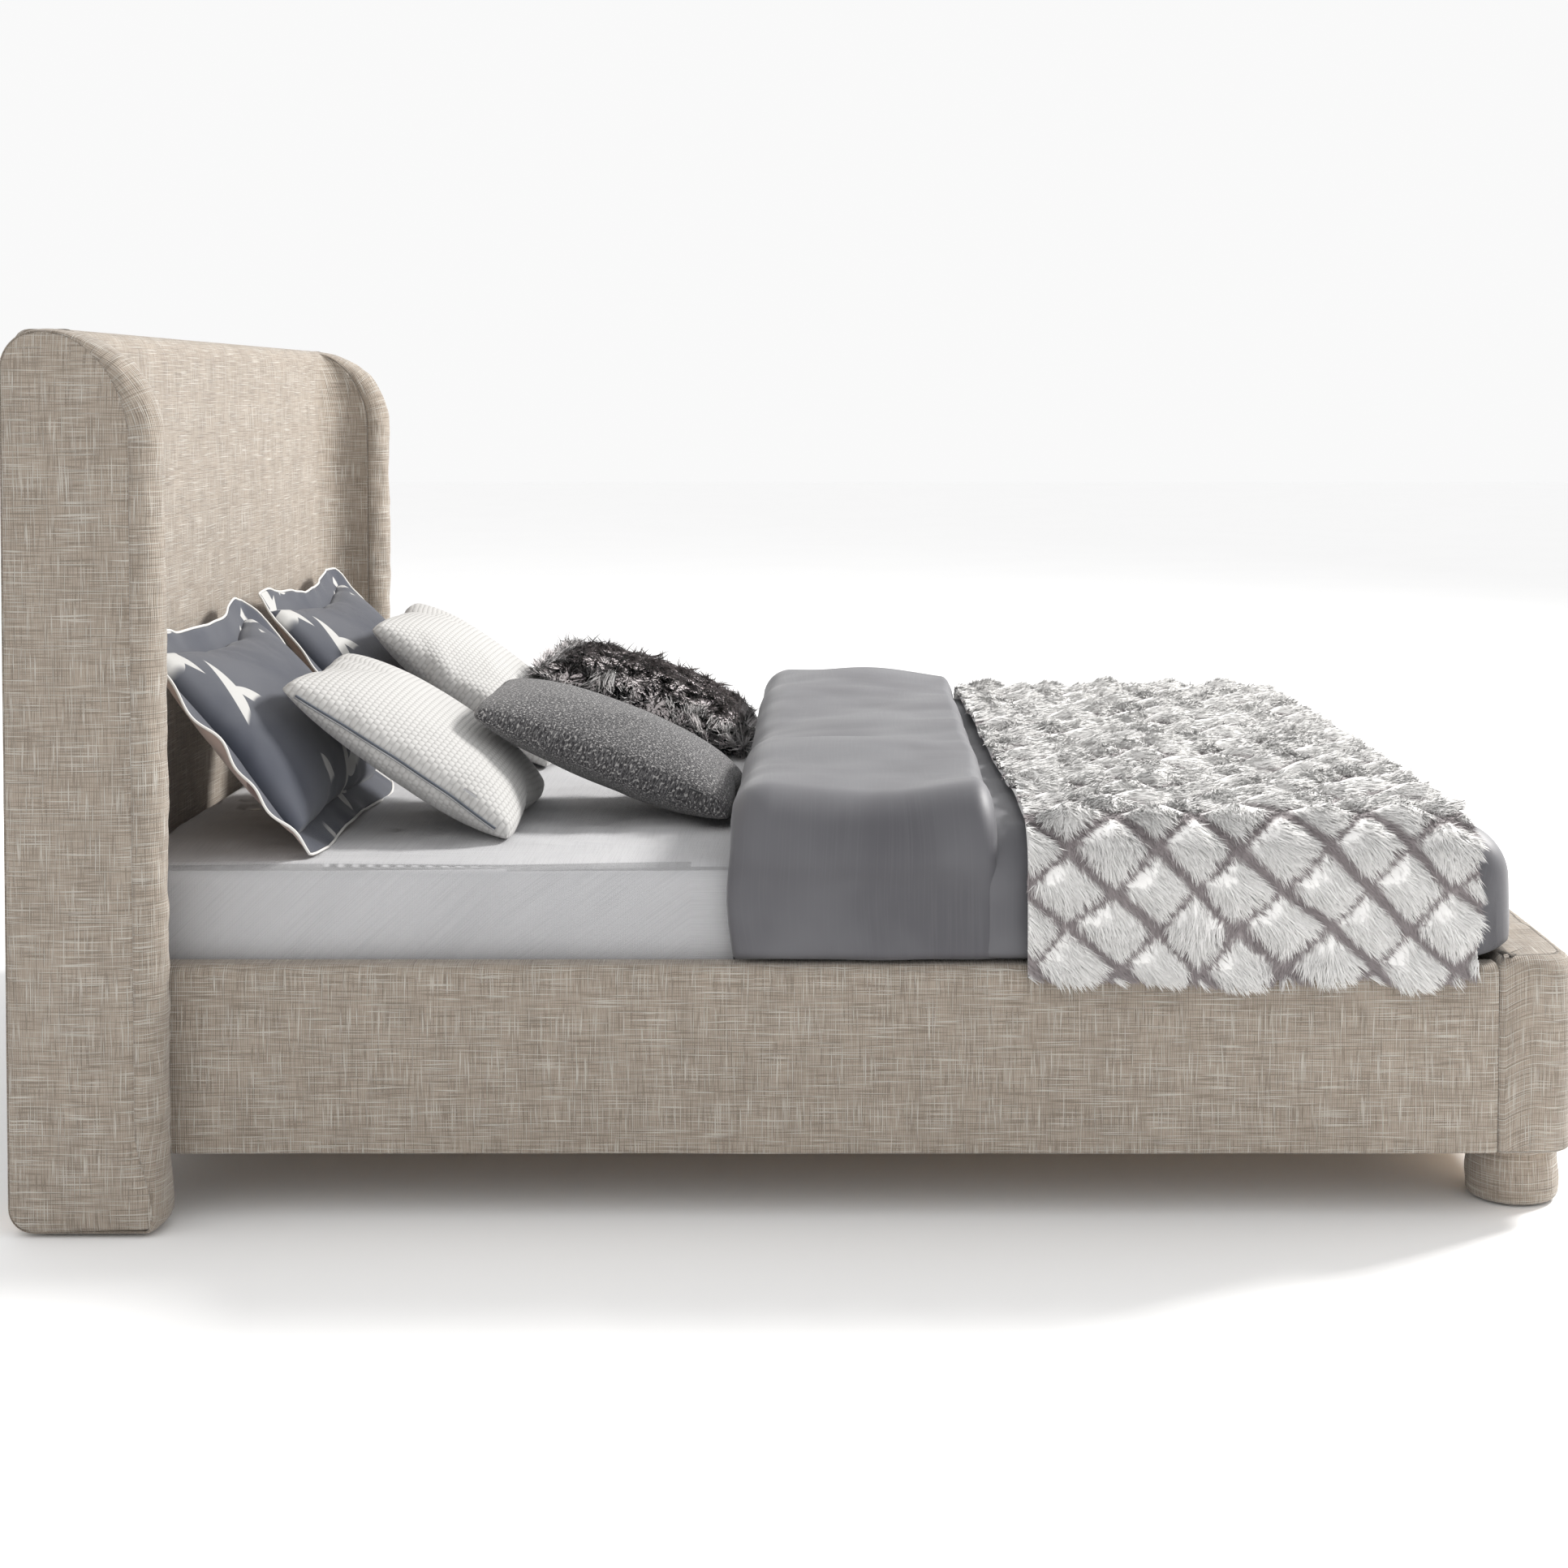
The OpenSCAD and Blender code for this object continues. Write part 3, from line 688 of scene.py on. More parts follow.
@dataclass(frozen=True)
class Sateen:
    """Smooth satin weave with a soft shine along its threads, in its roughness and as a painted sheen in its
    colour.
    """

    name: str
    ground: Tone
    # lighter tone that the painted sheen is mixed towards
    lit: Tone

    def build(self) -> Finish:
        """Lays the fine threads, the creasing, the painted sheen in the colour and the shine in the
        roughness.
        """
        bench = Bench(self.name, rough=0.42, sheen=0.15)
        bench.shader.inputs["Specular IOR Level"].default_value = 0.5
        uv = bench.uv()
        thread = bench.threads(uv, 900.0, "Y", 0.4)
        streak = bench.noise(bench.stretch(uv, (6.0, 260.0, 1.0)), 1.0, 2.0)
        crease = bench.noise(bench.stretch(uv, (9.0, 5.0, 1.0)), 1.0, 3.0, 0.5)
        cloud = bench.noise(uv, 4.0, 3.0)
        # painted sheen: the ground is lightened towards the lit tone in broad patches and in streaks along
        # the threads
        ground = bench.mix(bench.between(cloud, 0.3, 0.7), self.ground, self.lit)
        colour = bench.mix(bench.times(bench.between(streak, 0.45, 0.7), 0.25), ground, self.lit)
        height = bench.math("MULTIPLY_ADD", thread, 0.05, crease)
        rough = bench.math("MULTIPLY_ADD", streak, 0.12, 0.46)
        return bench.close(colour, bench.bump(height, 0.0016), rough)


@dataclass(frozen=True)
class Pile:
    """Hair of a fur throw or a long-wool cushion, coloured strand by strand."""

    name: str
    rough: float = 0.75

    def build(self) -> Finish:
        """Takes each strand's colour from the mesh."""
        bench = Bench(self.name, rough=self.rough, sheen=0.35)
        tint = bench.attribute("Tint")
        grain = bench.noise(bench.stretch(bench.space(), (260.0, 260.0, 260.0)), 1.0, 2.0)
        shade = bench.mix(bench.times(grain, 0.12), tint, (0.25, 0.22, 0.2), "MULTIPLY")
        return bench.close(shade, bench.bump(grain, 0.0004))


@dataclass(frozen=True)
class Tweed:
    """Coarse dark tweed with light flecks."""

    name: str
    ground: Tone
    fleck: Tone
    dark: Tone

    def build(self) -> Finish:
        """Lays the coarse weave and the flecks."""
        bench = Bench(self.name, rough=0.95, sheen=0.2)
        uv = bench.uv()
        warp = bench.threads(uv, 330.0, "X", 1.6)
        weft = bench.threads(uv, 330.0, "Y", 1.6)
        weave = bench.times(warp, weft)
        fleck = bench.noise(bench.stretch(uv, (330.0, 210.0, 1.0)), 1.0, 1.0)
        pepper = bench.noise(bench.stretch(uv, (190.0, 340.0, 1.0), move=(4.0, 2.0, 0.0)), 1.0, 1.0)
        ground = bench.mix(bench.between(pepper, 0.42, 0.6), self.dark, self.ground)
        colour = bench.mix(bench.between(fleck, 0.56, 0.66), ground, self.fleck)
        return bench.close(colour, bench.bump(weave, 0.0007))


@dataclass(frozen=True)
class Honeycomb:
    """Padded knit sewn in small rows of cells."""

    name: str
    ground: Tone
    # darker tone that the painted shade in the grooves is mixed towards
    dark: Tone
    cell: float = 0.0115

    def build(self) -> Finish:
        """Lays the raised cells, the painted shade in the grooves between them and the fine knit on them."""
        bench = Bench(self.name, rough=0.88, sheen=0.2)
        uv = bench.uv()
        x, y = bench.parts(bench.stretch(uv, (1.0 / self.cell, 1.0 / (self.cell * 0.85), 1.0)))[:2]
        row = bench.math("FLOOR", y)
        odd = bench.times(bench.math("MODULO", bench.math("ABSOLUTE", row), 2.0), 0.5)
        fx = bench.math("SUBTRACT", bench.math("FRACT", bench.math("ADD", x, odd)), 0.5)
        fy = bench.math("SUBTRACT", bench.math("FRACT", y), 0.5)
        reach = bench.math("ADD", bench.times(fx, fx), bench.times(fy, fy))
        dome = bench.math("SUBTRACT", 1.0, bench.times(reach, 3.6))
        knit = bench.noise(uv, 1500.0, 1.0)
        # painted shade: the grooves between the raised cells are darkened towards the dark tone
        groove_shade = bench.between(reach, 0.12, 0.3)
        colour = bench.mix(bench.times(groove_shade, 0.32), self.ground, self.dark)
        height = bench.math("MULTIPLY_ADD", knit, 0.12, dome)
        return bench.close(colour, bench.bump(height, 0.0010))


@dataclass(frozen=True)
class LeafPrint:
    """Cotton with a sparse print of leaves."""

    name: str
    ground: Tone
    leaf: Tone
    spread: float = 0.15

    def build(self) -> Finish:
        """Lays the ground weave and sprays of leaves in a few patches."""
        bench = Bench(self.name, rough=0.8, sheen=0.2)
        uv = bench.uv()
        cloud = bench.noise(uv, 5.0, 2.0)
        weave = bench.times(bench.threads(uv, 800.0, "X", 0.4), bench.threads(uv, 800.0, "Y", 0.4))
        ground = bench.mix(bench.between(cloud, 0.3, 0.7), self.ground, blend(self.ground, self.leaf, 0.06))
        sprays = self.leaves(bench, uv, 28.0, (0.0, 0.0, 0.0))
        for turn, move in ((-41.0, (0.37, 0.61, 0.0)), (74.0, (0.71, 0.23, 0.0))):
            sprays = bench.math("MAXIMUM", sprays, self.leaves(bench, uv, turn, move))
        patch = bench.noise(bench.stretch(uv, (4.2, 4.2, 1.0)), 1.0, 1.0)
        printed = bench.times(sprays, bench.between(patch, 0.54, 0.57))
        colour = bench.mix(bench.times(printed, 0.85), ground, self.leaf)
        return bench.close(colour, bench.bump(weave, 0.00015))

    def leaves(self, bench: Bench, uv: object, turn: float, move: Spot) -> object:
        """One leaf in each cell of a turned grid, 1 on the leaf and 0 around it.

        Args:
            bench: the finish's bench.
            uv: coordinates in metres.
            turn: turn of the grid in degrees.
            move: move of the grid in cells.

        Returns:
            The mask of the leaves.
        """
        grid = bench.stretch(uv, (1.0 / self.spread, 1.0 / (self.spread * 1.5), 1.0), turn, move)
        x, y = bench.parts(grid)[:2]
        fx = bench.times(bench.math("SUBTRACT", bench.math("FRACT", x), 0.5), 5.2)
        fy = bench.times(bench.math("SUBTRACT", bench.math("FRACT", y), 0.5), 2.6)
        bend = bench.math("MULTIPLY_ADD", bench.times(fy, fy), 0.5, fx)
        tip = bench.math("SUBTRACT", 1.0, bench.times(fy, fy))
        body = bench.math("SUBTRACT", tip, bench.times(bench.math("ABSOLUTE", bend), 2.0))
        return bench.between(body, 0.0, 0.08)


# ---------- headboard ----------


def corner_outline(low: Flat, high: Flat, radii: Spot, step: float) -> Grid:
    """Closed outline of a rectangle with its own radius at each corner.

    Args:
        low: low front corner.
        high: high rear corner.
        radii: radius of the low front, low rear, high rear and high front corner.
        step: distance between points.

    Returns:
        Points by 4: place and outward normal, up the front first, then over the top.
    """
    r_lf, r_lr, r_hr, r_hf = radii
    parts = []

    def straight(a: Flat, b: Flat, normal: Flat) -> None:
        """Adds one straight edge without its end point."""
        count = max(2, int(math.hypot(b[0] - a[0], b[1] - a[1]) / step))
        share = np.linspace(0.0, 1.0, count, endpoint=False)[:, None]
        place = np.array(a) + (np.array(b) - np.array(a)) * share
        parts.append(np.hstack([place, np.tile(normal, (count, 1))]))

    def arc(centre: Flat, radius: float, start: float) -> None:
        """Adds a quarter turn, clockwise, without its end point."""
        count = max(6, int(radius * QUARTER / step))
        turn = np.radians(start - np.linspace(0.0, 90.0, count, endpoint=False))
        normal = np.stack([np.cos(turn), np.sin(turn)], axis=1)
        parts.append(np.hstack([np.array(centre) + normal * radius, normal]))

    straight((low[0], low[1] + r_lf), (low[0], high[1] - r_hf), (-1.0, 0.0))
    arc((low[0] + r_hf, high[1] - r_hf), r_hf, 180.0)
    straight((low[0] + r_hf, high[1]), (high[0] - r_hr, high[1]), (0.0, 1.0))
    arc((high[0] - r_hr, high[1] - r_hr), r_hr, 90.0)
    straight((high[0], high[1] - r_hr), (high[0], low[1] + r_lr), (1.0, 0.0))
    arc((high[0] - r_lr, low[1] + r_lr), r_lr, 0.0)
    straight((high[0] - r_lr, low[1]), (low[0] + r_lf, low[1]), (0.0, -1.0))
    arc((low[0] + r_lf, low[1] + r_lf), r_lf, -90.0)
    return np.vstack(parts)


@dataclass
class Headboard:
    """Upholstered headboard with a wing on each side."""

    finish: Finish
    lining: Finish
    step: float = 0.008
    wing_t: float = 0.084
    radii: tuple[float, float, float, float] = (0.028, 0.040, 0.060, 0.165)
    tuck: float = 0.008
    nose_seam: float = 0.042
    rear_seam: float = 0.006
    hollow: float = 0.093
    panel_top_r: float = 0.026
    back_r: float = 0.022
    seam_dip: float = 0.0025
    crown: float = 0.003

    def __post_init__(self) -> None:
        """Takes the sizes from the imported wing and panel."""
        low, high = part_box("wing_pad_right")
        self.x_out = high.x
        self.x_in = high.x - self.wing_t
        self.y_back = high.y
        self.z_low = low.z
        self.z_top = high.z
        pad_low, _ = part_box("headboard_pad")
        self.y_panel = pad_low.y
        self.panel_z = pad_low.z
        self.rail_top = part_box("rail_cover_right")[1].z
        self.outline = corner_outline((low.y, low.z), (high.y, high.z), self.radii, self.step)
        self.inset = self.seam_inset()
        self.seam = self.outline[:, :2] - self.outline[:, 2:] * self.inset[:, None]

    def seam_inset(self) -> Grid:
        """Distance of the seam from the wing's edge, for each point of the outline."""
        _, z, ny, _ = self.outline.T
        front = smooth(-ny, 0.05, 0.95)
        high = smooth(z, self.z_top - 0.165, self.z_top)
        full = self.nose_seam - 0.010 * high
        low = smooth(z, self.z_low + 0.025, self.z_low + 0.16)
        front_inset = 0.017 + (full - 0.017) * low
        return self.rear_seam + (front_inset - self.rear_seam) * front

    def wing_band(self, side: Side) -> Piece:
        """Band that wraps the wing's front, top, back and foot between its two seams."""
        outline = np.vstack([self.outline, self.outline[:1]])
        inset = np.append(self.inset, self.inset[0])
        mid = (self.x_in + self.x_out) / 2.0
        half = (self.x_out - self.x_in) / 2.0
        turn = np.radians(np.linspace(-90.0, 90.0, 23))
        rear = 1.0 - smooth(inset, self.rear_seam, 0.017)
        power = 2.0 + 1.4 * rear
        sine = np.sin(turn)[:, None]
        cosine = np.clip(np.cos(turn), 0.0, 1.0)[:, None]
        across = np.sign(sine) * np.abs(sine) ** (2.0 / power)[None]
        back = inset[None] * (1.0 - cosine ** (2.0 / power)[None])
        y = outline[None, :, 0] - outline[None, :, 2] * back
        z = outline[None, :, 1] - outline[None, :, 3] * back
        x = mid + half * across
        points = np.stack([x, y, z], axis=-1)
        girth = climb(points)
        edge = np.minimum(girth, girth[-1] - girth)
        dip = self.seam_dip * np.exp(-edge / 0.004)
        slack = Ripple(11, 0.045).at(points) * 0.0007 + Ripple(12, 0.22).at(points) * 0.0012
        slack *= smooth(edge, 0.0, 0.020) * (1.0 - 0.7 * rear)
        puckers = Ripple(13, 0.016).at(points) * 0.0012 * np.exp(-edge / 0.012) * smooth(edge, 0.0, 0.004)
        puckers *= 1.0 - rear
        normal = grid_normals(points)
        outward = spread(across, outline[None, :, 2], outline[None, :, 3])
        normal *= np.sign((normal * outward).sum(-1, keepdims=True))
        points += normal * (slack + puckers - dip - 0.001)[..., None]
        points[:, -1] = points[:, 0]
        tucked = points[[0, -1]] + np.array([[[self.tuck, 0.0, 0.0]], [[-self.tuck, 0.0, 0.0]]])
        points = np.concatenate([tucked[:1], points, tucked[1:]], axis=0)
        girth = np.concatenate([girth[:1] - self.tuck, girth, girth[-1:] + self.tuck], axis=0)
        points[..., 0] *= side.value
        uv = spread(girth, run_of(outline[:, :2])[None])
        return upholster(f"wing_band_{side.word}", points, uv, self.finish, side is Side.RIGHT)

    def wing_panel(self, side: Side, name: str, x: float, outer: bool, z_end: float) -> Piece:
        """Flat, lightly crowned cloth between the seams of one face of a wing.

        Args:
            side: which wing.
            name: first part of the piece's name.
            x: distance of the face from the middle of the bed.
            outer: True on the face that looks away from the mattress.
            z_end: height at which the panel ends.

        Returns:
            The finished panel.
        """
        z = self.seam[:, 1]
        top = int(np.argmax(z))
        low = int(np.argmin(z))
        front_line = np.vstack([self.seam[low:], self.seam[:top + 1]])
        rear_line = self.seam[top:low + 1]
        front_line = front_line[np.argsort(front_line[:, 1])]
        rear_line = rear_line[np.argsort(rear_line[:, 1])]
        z_lo = z.min() + 1e-4
        z_hi = min(z.max() - 1e-4, z_end)
        heights = z_lo + (z_hi - z_lo) * (0.35 * ease(190) + 0.65 * np.linspace(0.0, 1.0, 190))
        y_l = np.interp(heights, front_line[:, 1], front_line[:, 0])
        y_r = np.interp(heights, rear_line[:, 1], rear_line[:, 0])
        part = np.concatenate([[0.0], ease(31), [1.0]])
        grid_y = y_l[:, None] + (y_r - y_l)[:, None] * part[None]
        grid_z = np.broadcast_to(heights[:, None], grid_y.shape)
        edge = np.minimum(np.minimum(grid_y - y_l[:, None], y_r[:, None] - grid_y), grid_z - z_lo)
        edge = np.maximum(np.minimum(edge, z.max() - grid_z), 0.0)
        points = spread(x, grid_y, grid_z)
        rise = self.crown * (1.0 - np.exp(-edge / 0.05)) - (self.seam_dip + 0.001) * np.exp(-edge / 0.004)
        rise = rise + Ripple(21, 0.30).at(points) * 0.0010 * smooth(edge, 0.0, 0.03)
        pucker = Ripple(22, 0.030).at(points) * 0.0012 * np.exp(-edge / 0.018)
        rise = rise + pucker * smooth(edge, 0.0, 0.004)
        rise[:, [0, -1]] -= self.tuck
        points[..., 0] += rise * (1.0 if outer else -1.0)
        points[..., 0] *= side.value
        away = (side is Side.RIGHT) == outer
        return upholster(f"{name}_{side.word}", points, spread(grid_y, grid_z), self.finish, not away)

    def seam_y(self, heights: Grid) -> Grid:
        """Place along the bed of the wing's front inner seam at each height."""
        top = int(np.argmax(self.seam[:, 1]))
        line = self.seam[: top + 1]
        return np.interp(heights, line[:, 1], line[:, 0])

    def inner_cover(self) -> Piece:
        """One cloth over the inner face of both wings, the hollows and the panel."""
        z_start = self.rail_top - 0.020
        straight_z = np.linspace(z_start, self.z_top - self.panel_top_r, 118)
        turn = np.linspace(0.0, QUARTER, 9)[1:]
        roll, back_r = self.panel_top_r, self.back_r
        deck = np.linspace(0.0, 1.0, 7)[1:]
        depth = self.y_back - back_r - self.y_panel - roll
        back_turn = np.linspace(0.0, QUARTER, 7)[1:]
        heights = np.concatenate([
            straight_z,
            self.z_top - roll + roll * np.sin(turn),
            np.full(len(deck), self.z_top),
            self.z_top - back_r * (1.0 - np.cos(back_turn)),
            [self.z_top - 0.05],
        ])
        back = np.concatenate([
            np.zeros(len(straight_z)),
            roll * (1.0 - np.cos(turn)),
            roll + depth * deck,
            roll + depth + back_r * np.sin(back_turn),
            [roll + depth + back_r],
        ])
        points = np.array([self.cover_row(float(z), float(shift)) for z, shift in zip(heights, back)])
        flap = np.array([0.0, 0.0, -0.045]) * smooth(back, 0.0, 0.02)[:, None, None]
        points = np.concatenate([points[:, :1] + flap, points, points[:, -1:] + flap], axis=1)
        face = smooth(self.z_top - points[..., 2], 0.0, 0.05)
        level = (back < 1e-6)[:, None]
        middle = smooth(self.x_in - 0.10 - np.abs(points[..., 0]), 0.0, 0.35)
        points[..., 1] -= level * face * middle * 0.006
        slack = Ripple(31, 0.40).at(points) * 0.0016 + Ripple(32, 0.07).at(points) * 0.0004
        slack *= smooth(self.x_in - 0.02 - np.abs(points[..., 0]), 0.0, 0.10)
        points[..., 1] += np.where(level, slack * face, slack * 0.3)
        span = np.linalg.norm(np.diff(points, axis=1), axis=-1)
        u = np.hstack([np.zeros((len(points), 1)), np.cumsum(span, axis=1)])
        u -= u[:, u.shape[1] // 2, None]
        v = np.concatenate([[0.0], np.cumsum(np.hypot(np.diff(heights), np.diff(back)))])
        return upholster("headboard_inner_cover", points, spread(u, v[:, None]), self.finish)

    def cover_row(self, z: float, back: float) -> Grid:
        """One level line of the inner cover, from the left wing to the right one.

        Args:
            z: height of the line.
            back: how far the line is rolled back over the panel's top.

        Returns:
            Points by 3.
        """
        y_panel = self.y_panel + back
        start_y = float(self.seam_y(np.array([z]))[0])
        radius = float(np.clip(self.y_panel - start_y - 0.004, 0.008, self.hollow))
        start_y = min(start_y, self.y_panel - radius)
        tuck = 0.014 * float(smooth(back, 0.0, 0.02)) + 0.0005
        wing = np.linspace(0.0, 1.0, 14)[:, None]
        first = np.array([self.x_in + tuck, start_y + back])
        last = np.array([self.x_in + tuck, y_panel - radius])
        part_a = first + (last - first) * wing ** 1.3
        fold = np.array([[0.0025, -0.0005]])
        part_a = part_a + fold * np.exp(-wing * 12.0) * float(1.0 - smooth(back, 0.0, 0.01))
        turn = np.linspace(0.0, QUARTER, 15)[1:]
        centre = np.array([self.x_in + tuck - radius, y_panel - radius])
        part_b = centre + radius * np.stack([np.cos(turn), np.sin(turn)], axis=1)
        share = np.linspace(0.0, 1.0, 34)[1:, None]
        part_c = part_b[-1] * (1.0 - share) + np.array([0.0, y_panel]) * share
        half = np.vstack([part_a, part_b, part_c])
        mirror = half[-2::-1] * np.array([-1.0, 1.0])
        line = np.vstack([half, mirror])[::-1]
        return np.column_stack([line, np.full(len(line), z)])

    def low_cover(self) -> Piece:
        """Cloth over the panel below the inner cover, behind the mattress."""
        half = self.x_in - 0.052
        x = np.linspace(-half, half, 60)
        z = np.concatenate([[self.panel_z + 0.004], np.linspace(self.panel_z, self.rail_top - 0.01, 16)])
        y = np.full(len(z), self.y_panel + 0.001)
        y[0] = self.y_panel + 0.05
        points = spread(x[None], y[:, None], z[:, None])
        return upholster("headboard_low_cover", points, points[..., [0, 2]], self.finish)

    def back_lining(self) -> Piece:
        """Dust cloth tacked over the back, with folded edges."""
        half = self.x_in + 0.012
        x = np.linspace(-half, half, 90)
        z = np.linspace(self.panel_z - 0.003, self.z_top - 0.028, 70)
        points = spread(x[None], self.y_back + 0.0004, z[:, None])
        high = np.minimum(points[..., 2] - z[0], z[-1] - points[..., 2])
        edge = np.minimum(half - np.abs(points[..., 0]), high)
        points[..., 1] += np.abs(Ripple(41, 0.25).at(points)) * 0.0012 * smooth(edge, 0.0, 0.08)
        points[..., 1] -= 0.0012 * np.exp(-edge / 0.004)
        uv = points[..., [0, 2]]
        return upholster("headboard_back_lining", points, uv, self.lining, True)

    def build(self) -> None:
        """Makes every cover of the headboard and hides the plain pads."""
        cover = self.inner_cover()
        self.low_cover()
        lining = self.back_lining()
        for side in Side:
            band = self.wing_band(side)
            outer = self.wing_panel(side, "wing_outer_panel", self.x_out, True, self.z_top)
            self.wing_panel(side, "wing_inner_panel", self.x_in, False, self.rail_top - 0.006)
            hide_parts(f"wing_pad_{side.word}")
        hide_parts("headboard_pad")
        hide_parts("headboard_back_cover")


# ---------- rails, footboard and legs ----------


@dataclass
class SideRail:
    """Padded cover of one side rail, with light gathers along its top."""

    side: Side
    finish: Finish
    top_r: float = 0.016
    low_r: float = 0.007
    step: float = 0.007

    def section(self, x0: float, x1: float, z0: float, z1: float) -> Grid:
        """Closed outline across the rail: in at the foot, up the inner face, over and down."""
        pieces = [np.array([[x0 + 0.030, z0 + 0.001], [x0 + 0.004, z0 + 0.001]])]
        pieces.append(np.column_stack([np.full(9, x0), np.linspace(z0 + 0.004, z1 - 0.006, 9)]))
        pieces.append(arc_line((x0 + 0.005, z1 - 0.005), 0.005, 180.0, 90.0, 5))
        pieces.append(np.column_stack([np.linspace(x0 + 0.010, x1 - self.top_r, 7)[1:-1], np.full(5, z1)]))
        pieces.append(arc_line((x1 - self.top_r, z1 - self.top_r), self.top_r, 90.0, 0.0, 10))
        face = np.linspace(z1 - self.top_r, z0 + self.low_r, 28)[1:-1]
        pieces.append(np.column_stack([np.full(len(face), x1), face]))
        pieces.append(arc_line((x1 - self.low_r, z0 + self.low_r), self.low_r, 0.0, -90.0, 7))
        pieces.append(np.array([[x0 + 0.030, z0 + 0.001]]))
        return np.vstack(pieces)

    def build(self) -> None:
        """Lofts the section along the rail and gathers the cloth at its top edge."""
        low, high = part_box(f"rail_cover_{self.side.word}")
        inner, outermost = sorted((abs(low.x), abs(high.x)))
        outline = self.section(inner, outermost, low.z, high.z)
        y = np.arange(low.y, high.y + self.step, self.step)
        y[-1] = high.y
        points = spread(outline[None, :, 0], y[:, None], outline[None, :, 1])
        outer = smooth(points[..., 0], inner + 0.030, outermost)
        up = np.clip((points[..., 2] - low.z) / (high.z - low.z), 0.0, 1.0)
        belly = np.sin(math.pi * up) * 0.0022 * outer
        slack = Ripple(51, 0.33).at(points) * 0.0011 * outer
        top = np.exp(-np.abs(high.z - 0.006 - points[..., 2]) / 0.012) * outer
        pleat = Ripple(52, 0.020, (40.0, 1.0, 40.0)).at(points) * 0.0011 * top
        pleat += Ripple(53, 0.055, (40.0, 1.0, 40.0)).at(points) * 0.0009 * top
        points[..., 0] += belly + slack + pleat
        points[..., 2] += pleat * 0.8 - 0.001 * top
        end = np.minimum(points[..., 1] - low.y, high.y - points[..., 1])
        points[..., 0] -= 0.0035 * np.exp(-end / 0.006) * outer
        uv = spread(y[:, None], -run_of(outline)[None])
        points[..., 0] *= self.side.value
        piece = upholster(f"rail_padding_{self.side.word}", points, uv, self.finish, closed=True)
        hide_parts(f"rail_cover_{self.side.word}")


def round_plan(half_x: float, y0: float, y1: float, radii: Flat, step: float) -> Grid:
    """Closed plan of a long board, with the same places along both long edges.

    Args:
        half_x: half the length across the bed.
        y0: foot side.
        y1: head side.
        radii: radius of the foot corners and of the head corners.
        step: distance between points.

    Returns:
        Points by 4: place and outward normal, starting at the middle of the foot side.
    """
    reach = max(radii) + 0.002
    count = max(4, int(2.0 * (half_x - reach) / step))
    line = np.linspace(-(half_x - reach), half_x - reach, count)
    parts = []

    def edge(xs: Grid, y: float, normal: float) -> None:
        """Adds one long edge."""
        parts.append(np.column_stack([xs, np.full(len(xs), y), np.zeros(len(xs)), np.full(len(xs), normal)]))

    def corner(cx: float, cy: float, radius: float, start: float) -> None:
        """Adds a quarter turn, anticlockwise."""
        count = max(7, int(radius * 1.6 / step) + 3)
        turn = np.radians(np.linspace(start, start + 90.0, count))
        normal = np.column_stack([np.cos(turn), np.sin(turn)])
        parts.append(np.hstack([np.array([cx, cy]) + normal * radius, normal]))

    def end(x: float, ys: Grid, normal: float) -> None:
        """Adds one short side."""
        parts.append(np.column_stack([np.full(len(ys), x), ys, np.full(len(ys), normal), np.zeros(len(ys))]))

    foot_r, head_r = radii
    sides = np.linspace(y0 + foot_r, y1 - head_r, 8)[1:-1]
    edge(line, y0, -1.0)
    corner(half_x - foot_r, y0 + foot_r, foot_r, -90.0)
    end(half_x, sides, 1.0)
    corner(half_x - head_r, y1 - head_r, head_r, 0.0)
    edge(line[::-1], y1, 1.0)
    corner(-half_x + head_r, y1 - head_r, head_r, 90.0)
    end(-half_x, sides[::-1], -1.0)
    corner(-half_x + foot_r, y0 + foot_r, foot_r, 180.0)
    return np.vstack(parts)


def boxed_rings(
    plan: Grid, spine: Grid, span: Flat, radii: Flat, base: Sequence[float], steps: tuple[int, int],
    lid: Sequence[float], lift: float = 0.0,
) -> Grid:
    """Rings from the underside of a soft block, up its sides and over to its middle.

    Args:
        plan: points by 4, place and outward normal.
        spine: points by 2, where each point ends up in the middle.
        span: heights of the underside and of the top.
        radii: radius of the lower and of the upper edge.
        base: how far towards the middle each ring of the underside lies.
        steps: points around the lower edge and up the sides.
        lid: how far towards the middle each ring of the top lies.
        lift: how far above the lower edge the underside lies.

    Returns:
        Rings by points by 3, with the first point repeated at the end.
    """
    (low, high), (low_r, top_r) = span, radii
    rings: list[Grid] = []

    def ring(inset: float, height: float, share: float = 0.0) -> None:
        """Adds a ring inside the plan, a share of the way to the middle."""
        edge = plan[:, :2] - plan[:, 2:] * inset
        rings.append(np.column_stack([edge + (spine - edge) * share, np.full(len(plan), height)]))

    for share in base:
        ring(low_r, low + lift, share)
    for turn in np.linspace(0.0, QUARTER, steps[0]):
        ring(low_r * (1.0 - math.sin(turn)), low + low_r * (1.0 - math.cos(turn)))
    for height in np.linspace(low + low_r, high - top_r, steps[1])[1:-1]:
        ring(0.0, height)
    for turn in np.linspace(0.0, QUARTER, 9):
        ring(top_r * (1.0 - math.cos(turn)), high - top_r * (1.0 - math.sin(turn)))
    for share in lid:
        ring(top_r, high, share)
    points = np.array(rings)
    return np.concatenate([points, points[:, :1]], axis=1)


